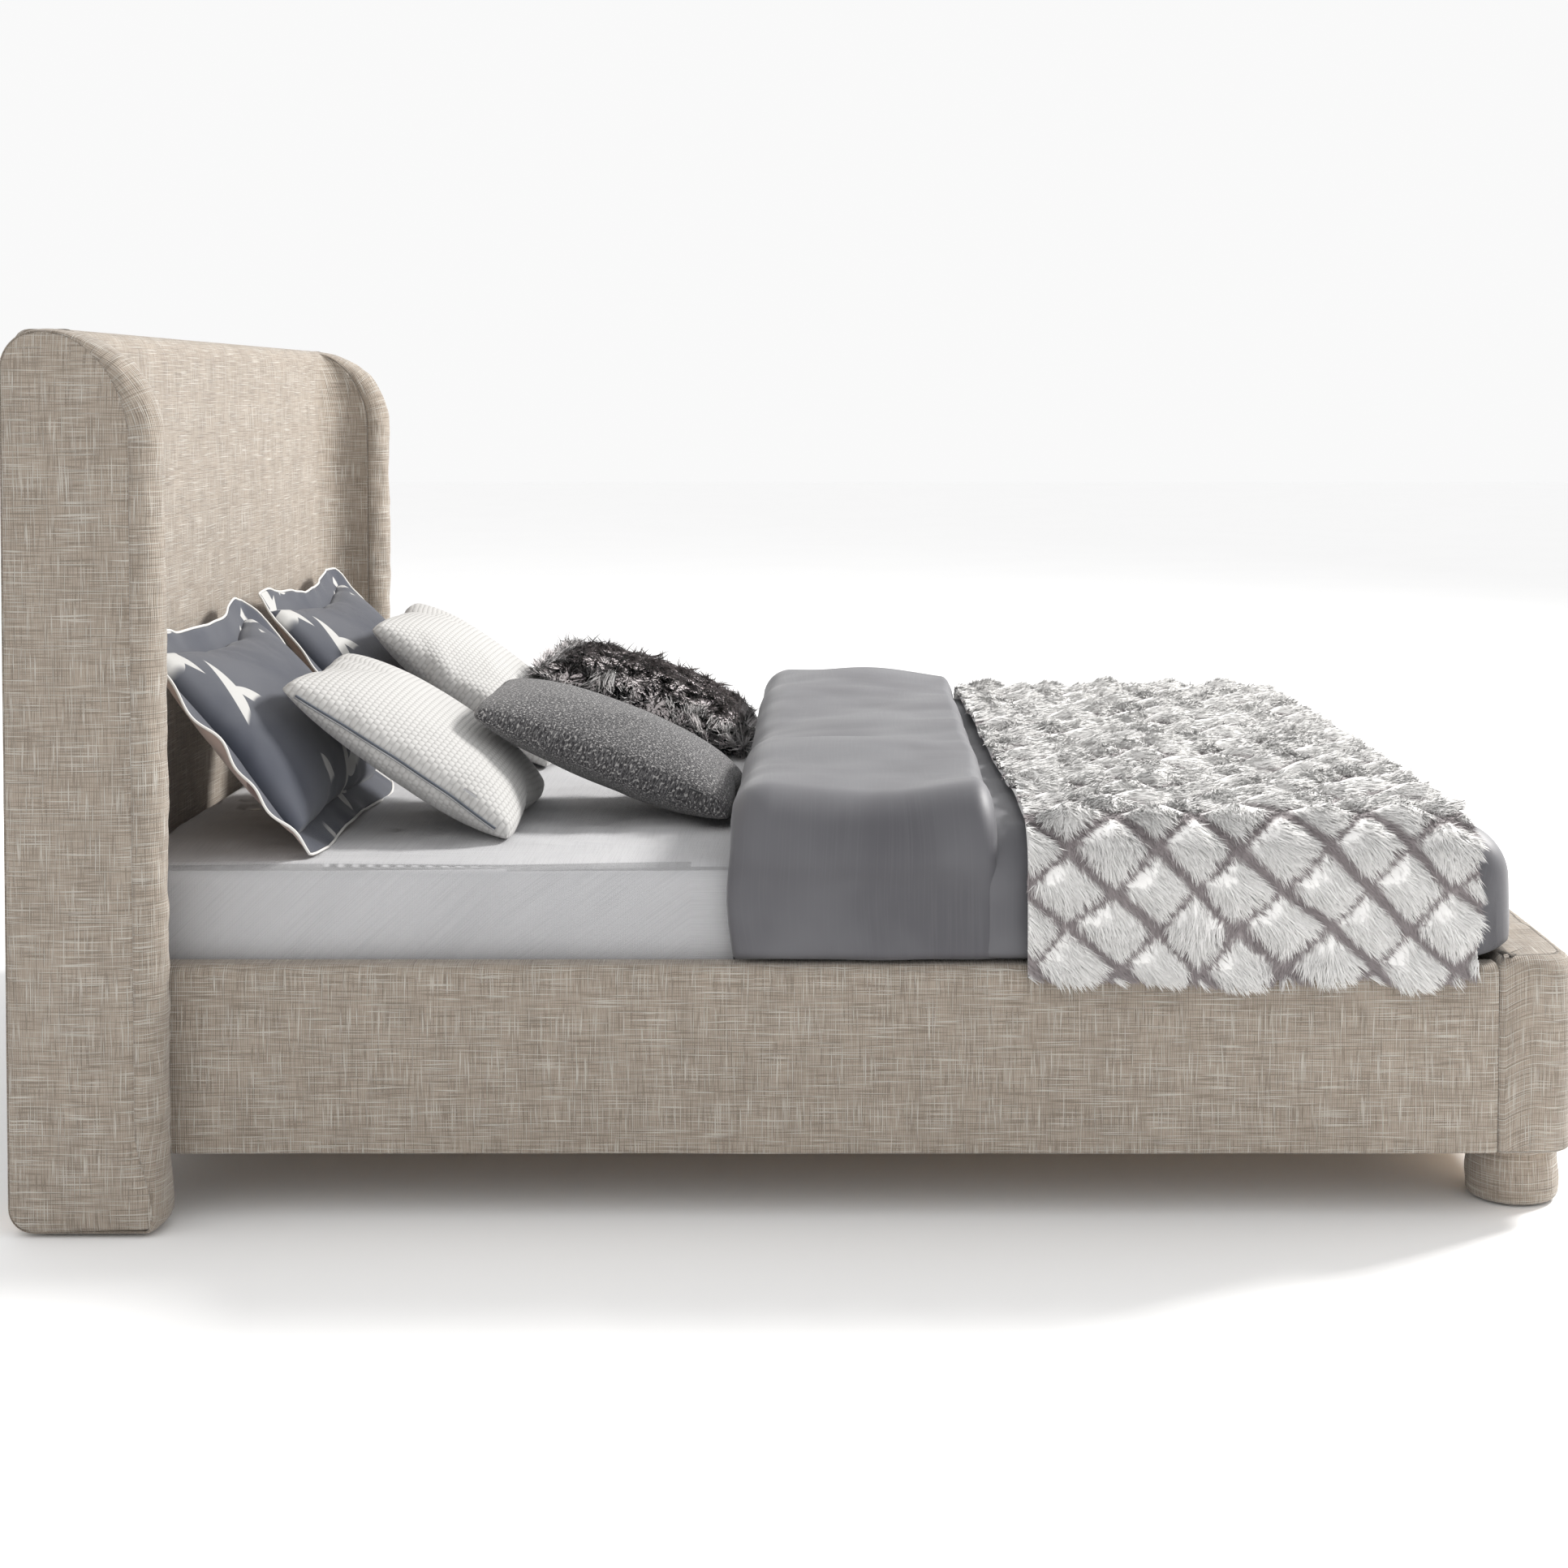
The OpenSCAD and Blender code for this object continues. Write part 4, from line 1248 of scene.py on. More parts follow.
@dataclass
class Footboard:
    """Padded footboard with round outer corners and a rolled top edge."""

    finish: Finish
    top_r: float = 0.022
    low_r: float = 0.007
    corner_r: float = 0.060
    inner_r: float = 0.010

    def build(self) -> None:
        """Lofts rings from the underside, up the faces and over the top."""
        low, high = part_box("footboard_cover")
        plan = round_plan(high.x, low.y, high.y, (self.corner_r, self.inner_r), 0.012)
        middle = (low.y + high.y) / 2.0 + 0.004
        reach = high.x - self.corner_r - 0.002
        spine = np.column_stack([np.clip(plan[:, 0], -reach, reach), np.full(len(plan), middle)])
        points = boxed_rings(
            plan, spine, (low.z, high.z), (self.low_r, self.top_r),
            (1.0, 0.6, 0.25), (6, 26), (0.12, 0.3, 0.5, 0.7, 0.86, 1.0), lift=0.0005,
        )
        normal = np.concatenate([plan[:, 2:], plan[:1, 2:]], axis=0)
        up = np.clip((points[..., 2] - low.z) / (high.z - low.z), 0.0, 1.0)
        face = np.sin(math.pi * up)
        swell = 0.002 * face + Ripple(61, 0.30).at(points) * 0.0011 * smooth(up, 0.02, 0.1)
        rim = np.exp(-np.abs(high.z - 0.010 - points[..., 2]) / 0.012)
        swell += Ripple(62, 0.024, (1.0, 1.0, 40.0)).at(points) * 0.0008 * rim
        points[..., :2] += normal[None] * swell[..., None]
        crown = smooth(points[..., 2], high.z - 0.004, high.z)
        points[..., 2] += Ripple(63, 0.12).at(points) * 0.0010 * crown
        cut = np.exp(-np.abs(np.abs(points[..., 0]) - (high.x - 0.055)) / 0.003)
        inner_side = smooth(points[..., 1], middle, high.y)
        points[..., 2] -= 0.0022 * cut * crown * inner_side
        span = run_of(np.column_stack([points[20, :, :2], np.zeros(points.shape[1])]))
        uv = spread(span[None], climb(points))
        on_top = (up > 0.999) | (up < 0.01)
        uv[on_top] = points[on_top][:, :2] * np.array([1.0, -1.0]) + np.array([0.4, 0.3])
        piece = upholster("footboard_padding", points, uv, self.finish, closed=True, weld=1e-4)
        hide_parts("footboard_cover")


@dataclass
class LegSleeve:
    """Padded sleeve of one foot leg, gathered a little under the footboard."""

    side: Side
    finish: Finish
    low_r: float = 0.011
    glide_r: float = 0.022
    around: int = 97

    def build(self) -> None:
        """Turns the sleeve from its hem to the footboard."""
        low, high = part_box(f"leg_sleeve_{self.side.word}")
        centre = (low + high) / 2.0
        radius = (high.x - low.x) / 2.0
        turn = np.linspace(0.0, FULL, self.around)
        profile = [(self.glide_r, low.z + 0.004), (radius * 0.6, low.z + 0.002), (radius - self.low_r, low.z)]
        for angle in np.linspace(0.0, QUARTER, 7)[1:]:
            inset = self.low_r * (1.0 - math.sin(angle))
            profile.append((radius - inset, low.z + self.low_r * (1.0 - math.cos(angle))))
        for z in np.linspace(low.z + self.low_r, high.z + 0.003, 12)[1:]:
            profile.append((radius - 0.002 * float(smooth(z, high.z - 0.012, high.z)), float(z)))
        shape = np.array(profile)
        reach = shape[:, 0, None]
        points = spread(centre.x + reach * np.cos(turn), centre.y + reach * np.sin(turn), shape[:, 1, None])
        body = smooth(shape[:, 1], low.z, low.z + 0.02)[:, None]
        swell = Ripple(71, 0.060).at(points) * 0.0010 * body
        seam = np.exp(-np.abs(turn - QUARTER)[None] * radius / 0.003) * 0.002 * body
        shift = (swell - seam)[..., None] * np.stack([np.cos(turn), np.sin(turn)], axis=1)[None]
        points[..., :2] += shift
        points[:, -1] = points[:, 0]
        rise = run_of(np.column_stack([shape, np.zeros(len(shape))]))
        uv = spread((turn * radius)[None], rise[:, None])
        piece = upholster(f"leg_padding_{self.side.word}", points, uv, self.finish)
        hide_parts(f"leg_sleeve_{self.side.word}")


# ---------- mattress and sheet ----------


def flat_uv(points: Grid, plan: Grid, low: float, high: float) -> Grid:
    """Cloth coordinates of a boxed piece: plan places on top, girth and height on the sides."""
    line = np.concatenate([plan, plan[:1]], axis=0)
    run = run_of(np.column_stack([line[:, :2], np.zeros(len(line))]))
    uv = spread(run[None], climb(points))
    lid = (points[..., 2] > high - 0.004) | (points[..., 2] < low + 0.004)
    uv[lid] = points[lid][:, :2]
    return uv


@dataclass
class MattressSet:
    """Mattress with rounded edges and the fitted linen sheet over it."""

    ticking: Finish
    linen: Finish
    corner_r: float = 0.045

    def soft_block(self, name: str, node: str, grow: float, seed: int, wave: float) -> Piece:
        """One skin of the mattress's shape.

        Args:
            name: name of the piece.
            node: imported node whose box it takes.
            grow: how far inside (negative) or outside the box it lies.
            seed: number of the slack's waves.
            wave: height of the slack.

        Returns:
            The finished skin.
        """
        low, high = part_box(node)
        radius = self.corner_r + grow
        plan = round_plan(high.x + grow, low.y - grow, high.y + grow, (radius, radius), 0.014)
        middle = (low.y + high.y) / 2.0
        reach = high.x - 0.25
        spine = np.column_stack([np.clip(plan[:, 0], -reach, reach), np.full(len(plan), middle)])
        edge_z = low.z + 0.0006
        lid = np.linspace(0.0, 1.0, 61)[1:]
        span = (edge_z, high.z + grow)
        points = boxed_rings(plan, spine, span, (0.012, 0.030), (1.0, 0.66, 0.33, 0.1), (5, 14), lid)
        up = smooth(points[..., 2], edge_z, edge_z + 0.05)
        lid = smooth(points[..., 2], high.z - 0.012, high.z - 0.001)
        slack = (Ripple(seed, 0.26).at(points) + 0.6 * Ripple(seed + 1, 0.11).at(points)) * wave
        points[..., 2] += slack * lid
        normal = np.concatenate([plan[:, 2:], plan[:1, 2:]], axis=0)
        side = np.abs(slack) * up * (1.0 - lid) * 0.6
        tuck = Ripple(seed + 2, 0.05, (1.0, 1.0, 6.0)).at(points) * wave * 0.35 * up * (1.0 - lid)
        points[..., :2] += normal[None] * (side + np.abs(tuck))[..., None]
        uv = flat_uv(points, plan, edge_z, high.z + grow)
        return lay_cloth(name, points, uv)

    def build(self) -> None:
        """Makes the mattress and the sheet."""
        low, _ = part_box("mattress")
        block = self.soft_block("mattress_body", "mattress", -0.004, 81, 0.0003)
        finish_cloth(block, weld=1e-4)
        dress(block, self.ticking, "mattress")
        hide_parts("mattress")
        sheet = self.soft_block("linen_sheet", "fitted_sheet", 0.0, 91, 0.0016)
        finish_cloth(sheet, weld=1e-4)
        self.open_below(sheet, low.z + 0.004)
        dress(sheet, self.linen, "mattress")
        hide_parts("fitted_sheet")

    def open_below(self, sheet: Piece, height: float) -> None:
        """Cuts the sheet's underside away, so that it only turns in under the mattress."""
        take(sheet)
        bpy.ops.object.mode_set(mode="EDIT")
        bpy.ops.mesh.select_all(action="DESELECT")
        bpy.ops.mesh.select_mode(type="FACE")
        bpy.ops.object.mode_set(mode="OBJECT")
        low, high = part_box("fitted_sheet")
        for face in sheet.data.polygons:
            inner = abs(face.center.x) < high.x - 0.09 and low.y + 0.09 < face.center.y < high.y - 0.09
            face.select = face.center.z < height and inner
        bpy.ops.object.mode_set(mode="EDIT")
        bpy.ops.mesh.delete(type="FACE")
        bpy.ops.object.mode_set(mode="OBJECT")
        deselect()


# ---------- duvet and throw ----------


@dataclass
class Fall:
    """Cloth that lies on the bed and rolls over its edges."""

    half: float
    top: float
    roll: float

    def drop(self, past: Grid, radius: float) -> tuple[Grid, Grid]:
        """How far out and how far down cloth lies that goes past the flat part.

        Args:
            past: length of cloth past the flat part.
            radius: radius of the roll.

        Returns:
            The way outwards and the way down.
        """
        turn = np.clip(past / radius, 0.0, QUARTER)
        out = radius * np.sin(turn)
        down = radius * (1.0 - np.cos(turn)) + np.maximum(past - radius * QUARTER, 0.0)
        return out, down

    def arch(self, a: Grid, b: Grid) -> Grid:
        """Places of cloth that hangs over both sides.

        Args:
            a: length of cloth from the middle of the bed, negative to the left.
            b: place along the bed.

        Returns:
            Points of the same rows and columns by 3.
        """
        flat = self.half - self.roll
        out, down = self.drop(np.maximum(np.abs(a) - flat, 0.0), self.roll)
        x = np.sign(a) * (np.minimum(np.abs(a), flat) + out)
        return np.stack([x, b, self.top - down], axis=-1)

    def reach(self, hem: float) -> float:
        """Length of cloth from the middle of the bed to a hem at that height."""
        fall = self.top - hem - self.roll
        return self.half - self.roll + self.roll * QUARTER + fall


def pinch(edge: Grid, depth: float) -> Grid:
    """Round edge of a quilt: 0 at the edge, 1 at depth from it."""
    part = np.clip(1.0 - edge / depth, 0.0, 1.0)
    return np.sqrt(1.0 - part * part)


@dataclass
class Duvet:
    """Sateen duvet that is turned back in a wide band."""

    finish: Finish
    side_t: float = 0.043
    foot_t: float = 0.070
    roll: float = 0.050

    def __post_init__(self) -> None:
        """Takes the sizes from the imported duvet, throw and sheet."""
        self.low, self.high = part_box("duvet")
        self.flat_top = self.high.z - BAND_RISE
        self.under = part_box("fitted_sheet")[1].z + REST
        self.band_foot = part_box("fur_throw")[1].y + 0.008
        self.foot_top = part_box("footboard_cover")[1].z

    def body(self) -> Piece:
        """Part on the mattress, hanging over both sides and the foot."""
        top = (self.flat_top + self.under) / 2.0
        flat_t = self.flat_top - self.under
        half = self.high.x - self.side_t / 2.0
        foot = self.low.y + self.foot_t / 2.0 + 0.004
        fall_side = top - (self.low.z + 0.004)
        fall_foot = top - (self.foot_top + 0.005)
        quarter = self.roll * (QUARTER - 1.0)
        flat_x = half - self.roll
        flat_y = foot + self.roll
        reach_x = fall_side + quarter
        reach_y = fall_foot + quarter
        a = widths(flat_x, reach_x, 30, 150)
        head = self.band_foot + 0.050
        hang = flat_y - np.linspace(reach_y, 0.0, 30, endpoint=False)
        b = np.concatenate([hang, np.linspace(flat_y, head, 74)])
        grid_a, grid_b = np.meshgrid(a, b)
        past_x = np.maximum(np.abs(grid_a) - flat_x, 0.0) / reach_x
        past_y = np.maximum(flat_y - grid_b, 0.0) / reach_y
        far = np.maximum(past_x, past_y)
        angle = np.where(far > 1e-9, past_x / np.maximum(past_x + past_y, 1e-9), 0.0) * QUARTER
        length = far * (reach_y + (reach_x - reach_y) * np.sin(angle) ** 2)
        fall = Fall(half, top, self.roll)
        out, down = fall.drop(length, self.roll)
        x = np.sign(grid_a) * (np.minimum(np.abs(grid_a), flat_x) + out * np.sin(angle))
        y = np.maximum(grid_b, flat_y) - out * np.cos(angle)
        middle = np.stack([x, y, top - down], axis=-1)
        hem = length - reach_y - (reach_x - reach_y) * np.sin(angle) ** 2
        sided = smooth(far, 0.0, 0.45)
        side_t = self.side_t + (self.foot_t - self.side_t) * np.cos(angle) ** 2
        thick = flat_t + (side_t - flat_t) * sided
        head_edge = head - grid_b
        thick = thick * np.where(far > 0.0, pinch(-hem, 0.016), 1.0) * pinch(head_edge, 0.02)
        lid = 1.0 - sided
        puff = Ripple(101, 0.42).at(middle) * 0.0045 + Ripple(102, 0.16).at(middle) * 0.0010
        middle[..., 2] += puff * lid
        normal = grid_normals(middle)
        crease = Ripple(103, 0.075, (1.0, 1.0, 3.0)).at(middle) * 0.0022 * sided * smooth(-hem, 0.0, 0.05)
        middle += normal * (crease - 0.001 * sided)[..., None]
        piece = quilt_shell("duvet_body", middle, thick, spread(grid_a, grid_b))
        dress(piece, self.finish, "duvet")
        return piece

    def band(self) -> Piece:
        """Turned-back head end, two layers thick, with a round fold."""
        top = (self.high.z + self.under) / 2.0
        flat_t = self.high.z - self.under
        fall = Fall(self.high.x - self.side_t / 2.0 + 0.001, top, 0.052)
        hem = self.low.z + 0.003
        reach = fall.reach(hem)
        flat = fall.half - fall.roll
        a = widths(flat, reach - flat, 34, 150)
        b0, b1 = self.band_foot + 0.001, self.high.y - 0.001
        b = b0 + (b1 - b0) * (0.5 * ease(64) + 0.5 * np.linspace(0.0, 1.0, 64))
        grid_a, grid_b = np.meshgrid(a, b)
        middle = fall.arch(grid_a, grid_b)
        past = np.maximum(np.abs(grid_a) - flat, 0.0)
        sided = smooth(past, 0.0, 0.12)
        thick = flat_t + (self.side_t - flat_t) * sided
        thick *= pinch(reach - np.abs(grid_a), 0.018)
        thick *= pinch(b1 - grid_b, 0.060) * pinch(grid_b - b0, 0.030)
        swell = Ripple(111, 0.42).at(middle) * 0.0050 + Ripple(112, 0.15).at(middle) * 0.0009
        middle[..., 2] += swell * (1.0 - sided)
        bow = np.sin(np.pi * np.clip((top - middle[..., 2]) / (top - hem), 0.0, 1.0)) * 0.010
        head_half = smooth(grid_b, b0, b1)
        middle[..., 1] += (bow - 0.006) * head_half * sided
        normal = grid_normals(middle)
        fold = Ripple(113, 0.13, (1.0, 1.0, 3.0)).at(middle) * 0.0026 * sided
        bulge = 0.004 * np.sin(np.pi * np.clip((grid_b - b0) / (b1 - b0), 0.0, 1.0)) * sided
        middle += normal * (fold + bulge)[..., None]
        thick *= 1.0 + 0.03 * Ripple(114, 0.30).at(middle) * (1.0 - sided)
        piece = quilt_shell("duvet_turned_band", middle, thick, spread(grid_a, grid_b + 2.5))
        dress(piece, self.finish, "duvet")
        return piece

    def build(self) -> None:
        """Makes the body and the band."""
        body = self.body()
        band = self.band()
        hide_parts("duvet")


@dataclass(frozen=True)
class Strands:
    """How one kind of pile grows."""

    length: float
    width: float
    stand: float
    loose: float
    seed: int
    curl: float = 0.0
    turns: float = 1.0
    rings: int = 1
    clump: float = 0.010
    soft: float = 0.6


def strand_faces(rings: int) -> tuple[list[int], list[int]]:
    """Faces of one three-sided strand.

    Args:
        rings: rings of three points below the tip.

    Returns:
        The points of all faces in order, and where each face starts.
    """
    loops: list[int] = []
    starts: list[int] = []
    for ring in range(rings):
        for corner in range(3):
            low, following = 3 * ring + corner, 3 * ring + (corner + 1) % 3
            starts.append(len(loops))
            last = ring == rings - 1
            loops.extend([low, following, 3 * rings] if last else [low, following, following + 3, low + 3])
    return loops, starts


def plant(
    name: str,
    roots: Grid,
    normals: Grid,
    comb: Grid,
    tint: Grid,
    kind: Strands,
    scale: Grid | float = 1.0,
    lift: Grid | float = 1.0,
) -> Piece:
    """Grows one tapering three-sided strand from each root, with painted shade that darkens it at its root.

    Args:
        name: name of the new piece.
        roots: points by 3 where the strands grow.
        normals: points by 3, the cloth's outward direction.
        comb: points by 3, the way the pile is combed.
        tint: points by 3, each strand's linear colour.
        kind: length, width and curl of the strands.
        scale: share of the full length that each strand has.
        lift: share of the kind's stand that each strand has.

    Returns:
        The finished pile.
    """
    draw = np.random.default_rng(kind.seed)
    count = len(roots)
    stand = kind.stand * lift
    length = kind.length * draw.uniform(0.72, 1.12, (count, 1)) * scale
    width = kind.width * draw.uniform(0.7, 1.2, (count, 1))
    way = unit(comb + draw.normal(size=(count, 3)) * kind.loose)
    tip = roots + length * 0.5 * unit(normals * stand + way * (1.0 - stand * 0.5))
    tip = tip + length * 0.5 * unit(normals * stand * 0.6 + way)
    cell = np.floor(roots / kind.clump + 0.35 * np.sin(roots[:, [1, 2, 0]] / kind.clump * 0.9))
    _, group = np.unique(cell.astype(np.int64), axis=0, return_inverse=True)
    group = group.reshape(-1)
    total = np.bincount(group)
    centre = np.stack([np.bincount(group, tip[:, k]) / total for k in range(3)], axis=1)
    tip = tip + (centre[group] - tip) * draw.uniform(0.3, 0.7, (count, 1))
    side = unit(np.cross(tip - roots, normals + draw.normal(size=(count, 3)) * 0.5))
    other = unit(np.cross(tip - roots, side))
    phase = draw.uniform(0.0, FULL, (count, 1))
    # shade collects a painted shade for each ring: darker at the root, lighter towards the tip
    points, outward, shade = [], [], []
    for ring in range(kind.rings):
        share = ring / kind.rings
        spin = phase + share * FULL * kind.turns
        coil = (np.cos(spin) * side + np.sin(spin) * other) * length * kind.curl * min(share * 2.0, 1.0)
        centre = roots + (tip - roots) * share + coil + normals * length * stand * share * (1.0 - share)
        for corner in range(3):
            angle = FULL * corner / 3.0
            away = math.cos(angle) * side + math.sin(angle) * other
            points.append(centre + away * width * (0.5 - 0.25 * share))
            outward.append(away)
            shade.append(0.90 + 0.10 * share)
    points.append(tip)
    outward.append(normals)
    shade.append(1.02)
    each = len(points)
    loops, starts = strand_faces(kind.rings)
    number = np.arange(count)[:, None]
    corners = number * each + np.array(loops)
    faces = number * len(loops) + np.array(starts)
    mesh = bpy.data.meshes.new(name)
    mesh.vertices.add(count * each)
    mesh.vertices.foreach_set("co", np.stack(points, axis=1).astype(np.float32).reshape(-1))
    mesh.loops.add(count * len(loops))
    mesh.loops.foreach_set("vertex_index", corners.astype(np.int32).reshape(-1))
    mesh.polygons.add(count * len(starts))
    mesh.polygons.foreach_set("loop_start", faces.astype(np.int32).reshape(-1))
    mesh.update(calc_edges=True)
    piece = bpy.data.objects.new(name, mesh)
    # the tint times the painted shade from root to tip
    paint(piece, (tint[:, None, :] * np.array(shade)[None, :, None]).reshape(-1, 3))
    bpy.context.scene.collection.objects.link(piece)
    take(piece)
    bpy.ops.object.shade_smooth()
    lit = normals[:, None, :] * kind.soft + np.stack(outward, axis=1) * (1.0 - kind.soft)
    mesh.normals_split_custom_set_from_vertices(unit(lit).reshape(-1, 3).tolist())
    deselect()
    return piece


@dataclass
class FurThrow:
    """Long-pile throw with a lattice of darker lines, laid across the bed."""

    pile: Finish
    light: Tone
    dark: Tone
    skew: float = math.radians(1.2)
    cloth_t: float = 0.003
    hem_up: float = 0.022
    diamond: Flat = (0.126, 0.118)
    line: float = 0.115
    puff: float = 0.015
    strands: int = 60000
    kind: Strands = Strands(0.029, 0.0028, 0.46, 0.24, 5, clump=0.013, soft=0.8)

    def __post_init__(self) -> None:
        """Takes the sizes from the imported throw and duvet."""
        self.low, self.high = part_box("fur_throw")
        duvet_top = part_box("duvet")[1].z - BAND_RISE
        rail_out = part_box("rail_cover_right")[1].x
        self.fall = Fall(rail_out + 0.0075, duvet_top + 0.010, 0.072)
        self.reach = self.fall.reach(self.low.z + self.hem_up)
        self.b0 = self.low.y + 0.020
        self.b1 = self.high.y - 0.016

    def place(self, a: Grid, b: Grid) -> Grid:
        """Places of the cloth for its own lengths a and b, with its slack and skew."""
        base = self.fall.arch(a, b)
        base[..., 1] += base[..., 0] * math.tan(self.skew)
        base[..., 2] += Ripple(121, 0.22).at(base) * 0.0028 + 0.0025
        return base

    def normal_at(self, a: Grid, b: Grid) -> Grid:
        """Outward direction of the cloth."""
        step = 0.002
        along = self.place(a + step, b) - self.place(a - step, b)
        down = self.place(a, b + step) - self.place(a, b - step)
        return unit(np.cross(along, down))

    def lattice(self, a: Grid, b: Grid) -> Grid:
        """Distance from the dark lines between the diamonds, up to 0.5 in their middle."""
        bend = 0.035 * np.sin(a * 17.0 + 1.0) + 0.03 * np.sin(b * 23.0)
        p = a / self.diamond[1] + b / self.diamond[0] + bend
        q = a / self.diamond[1] - b / self.diamond[0] - bend
        near_p = np.abs(p - np.round(p))
        near_q = np.abs(q - np.round(q))
        return np.minimum(near_p, near_q)

    def bulge(self, a: Grid, b: Grid) -> Grid:
        """Height of the pile's roots, low on the lines and high within the diamonds."""
        return 0.001 + self.puff * smooth(self.lattice(a, b), 0.0, 0.46)

    def cloth(self) -> Piece:
        """Thin backing under the pile."""
        flat = self.fall.half - self.fall.roll
        b = np.linspace(self.b0, self.b1, 90)
        grid_a, grid_b = np.meshgrid(widths(flat, self.reach - flat, 50, 180), b)
        middle = self.place(grid_a, grid_b)
        edge = np.minimum(self.reach - np.abs(grid_a), np.minimum(grid_b - self.b0, self.b1 - grid_b))
        relief = self.bulge(grid_a, grid_b) * smooth(edge, 0.0, 0.03)
        middle = middle + self.normal_at(grid_a, grid_b) * relief[..., None] * 0.5
        thick = (self.cloth_t + relief) * pinch(edge, 0.002)
        piece = quilt_shell("throw_cloth", middle, thick, spread(grid_a, grid_b))
        corner, where = read_uv(piece)
        where = where - np.where(where > 2.0, 4.0, 0.0)
        tint = np.ones((len(piece.data.vertices), 3))
        tint[corner] = self.shade(where[:, 0], where[:, 1])
        paint(piece, tint)
        dress(piece, self.pile, "throw")
        return piece

    def lined(self, a: Grid, b: Grid) -> Grid:
        """1 on the dark lines and 0 within the diamonds, as one column."""
        return 1.0 - smooth(self.lattice(a, b), self.line * 0.6, self.line * 1.5)[..., None]

    def shade(self, a: Grid, b: Grid) -> Grid:
        """Colour of the pile at the cloth's own lengths a and b."""
        dark = self.lined(a, b)
        return np.array(self.light) * (1.0 - dark) + np.array(self.dark) * dark

    def pile_part(self, number: int, a0: float, a1: float) -> Piece:
        """Pile on one stretch of the cloth.

        Args:
            number: number of the stretch, from the left.
            a0: start of the stretch.
            a1: end of the stretch.

        Returns:
            The finished pile.
        """
        draw = np.random.default_rng(200 + number)
        count = self.strands
        a = draw.uniform(a0, a1, count)
        b = draw.uniform(self.b0, self.b1, count)
        roots = self.place(a, b)
        normals = self.normal_at(a, b)
        step = 0.004
        down = unit(self.place(a - step, b) - self.place(a + step, b))
        head = unit(self.place(a, b + step) - self.place(a, b - step))
        swirl = Ripple(131, 0.12).at(roots)[:, None]
        comb = down * 0.75 + head * (-0.35 + 0.30 * swirl)
        tint = self.shade(a, b) * draw.uniform(0.88, 1.06, (count, 1))
        roots = roots + normals * self.bulge(a, b)[:, None]
        slope_a = (self.bulge(a + step, b) - self.bulge(a - step, b)) / (2.0 * step)
        slope_b = (self.bulge(a, b + step) - self.bulge(a, b - step)) / (2.0 * step)
        normals = unit(normals + down * slope_a[:, None] - head * slope_b[:, None])
        kind = replace(self.kind, seed=210 + number)
        lift = 0.35 + 0.65 * smooth(np.abs(a), self.fall.half - 0.09, self.fall.half)[:, None]
        scale = 1.0 - 0.4 * self.lined(a, b)
        piece = plant(f"throw_pile_{number}", roots, normals, comb, tint, kind, scale, lift)
        dress(piece, self.pile, "throw")
        return piece

    def build(self) -> None:
        """Makes the cloth and four stretches of pile."""
        cloth = self.cloth()
        edges = np.linspace(-self.reach, self.reach, 5)
        parts = [self.pile_part(n + 1, float(edges[n]), float(edges[n + 1])) for n in range(4)]
        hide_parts("fur_throw")


# ---------- cushions ----------


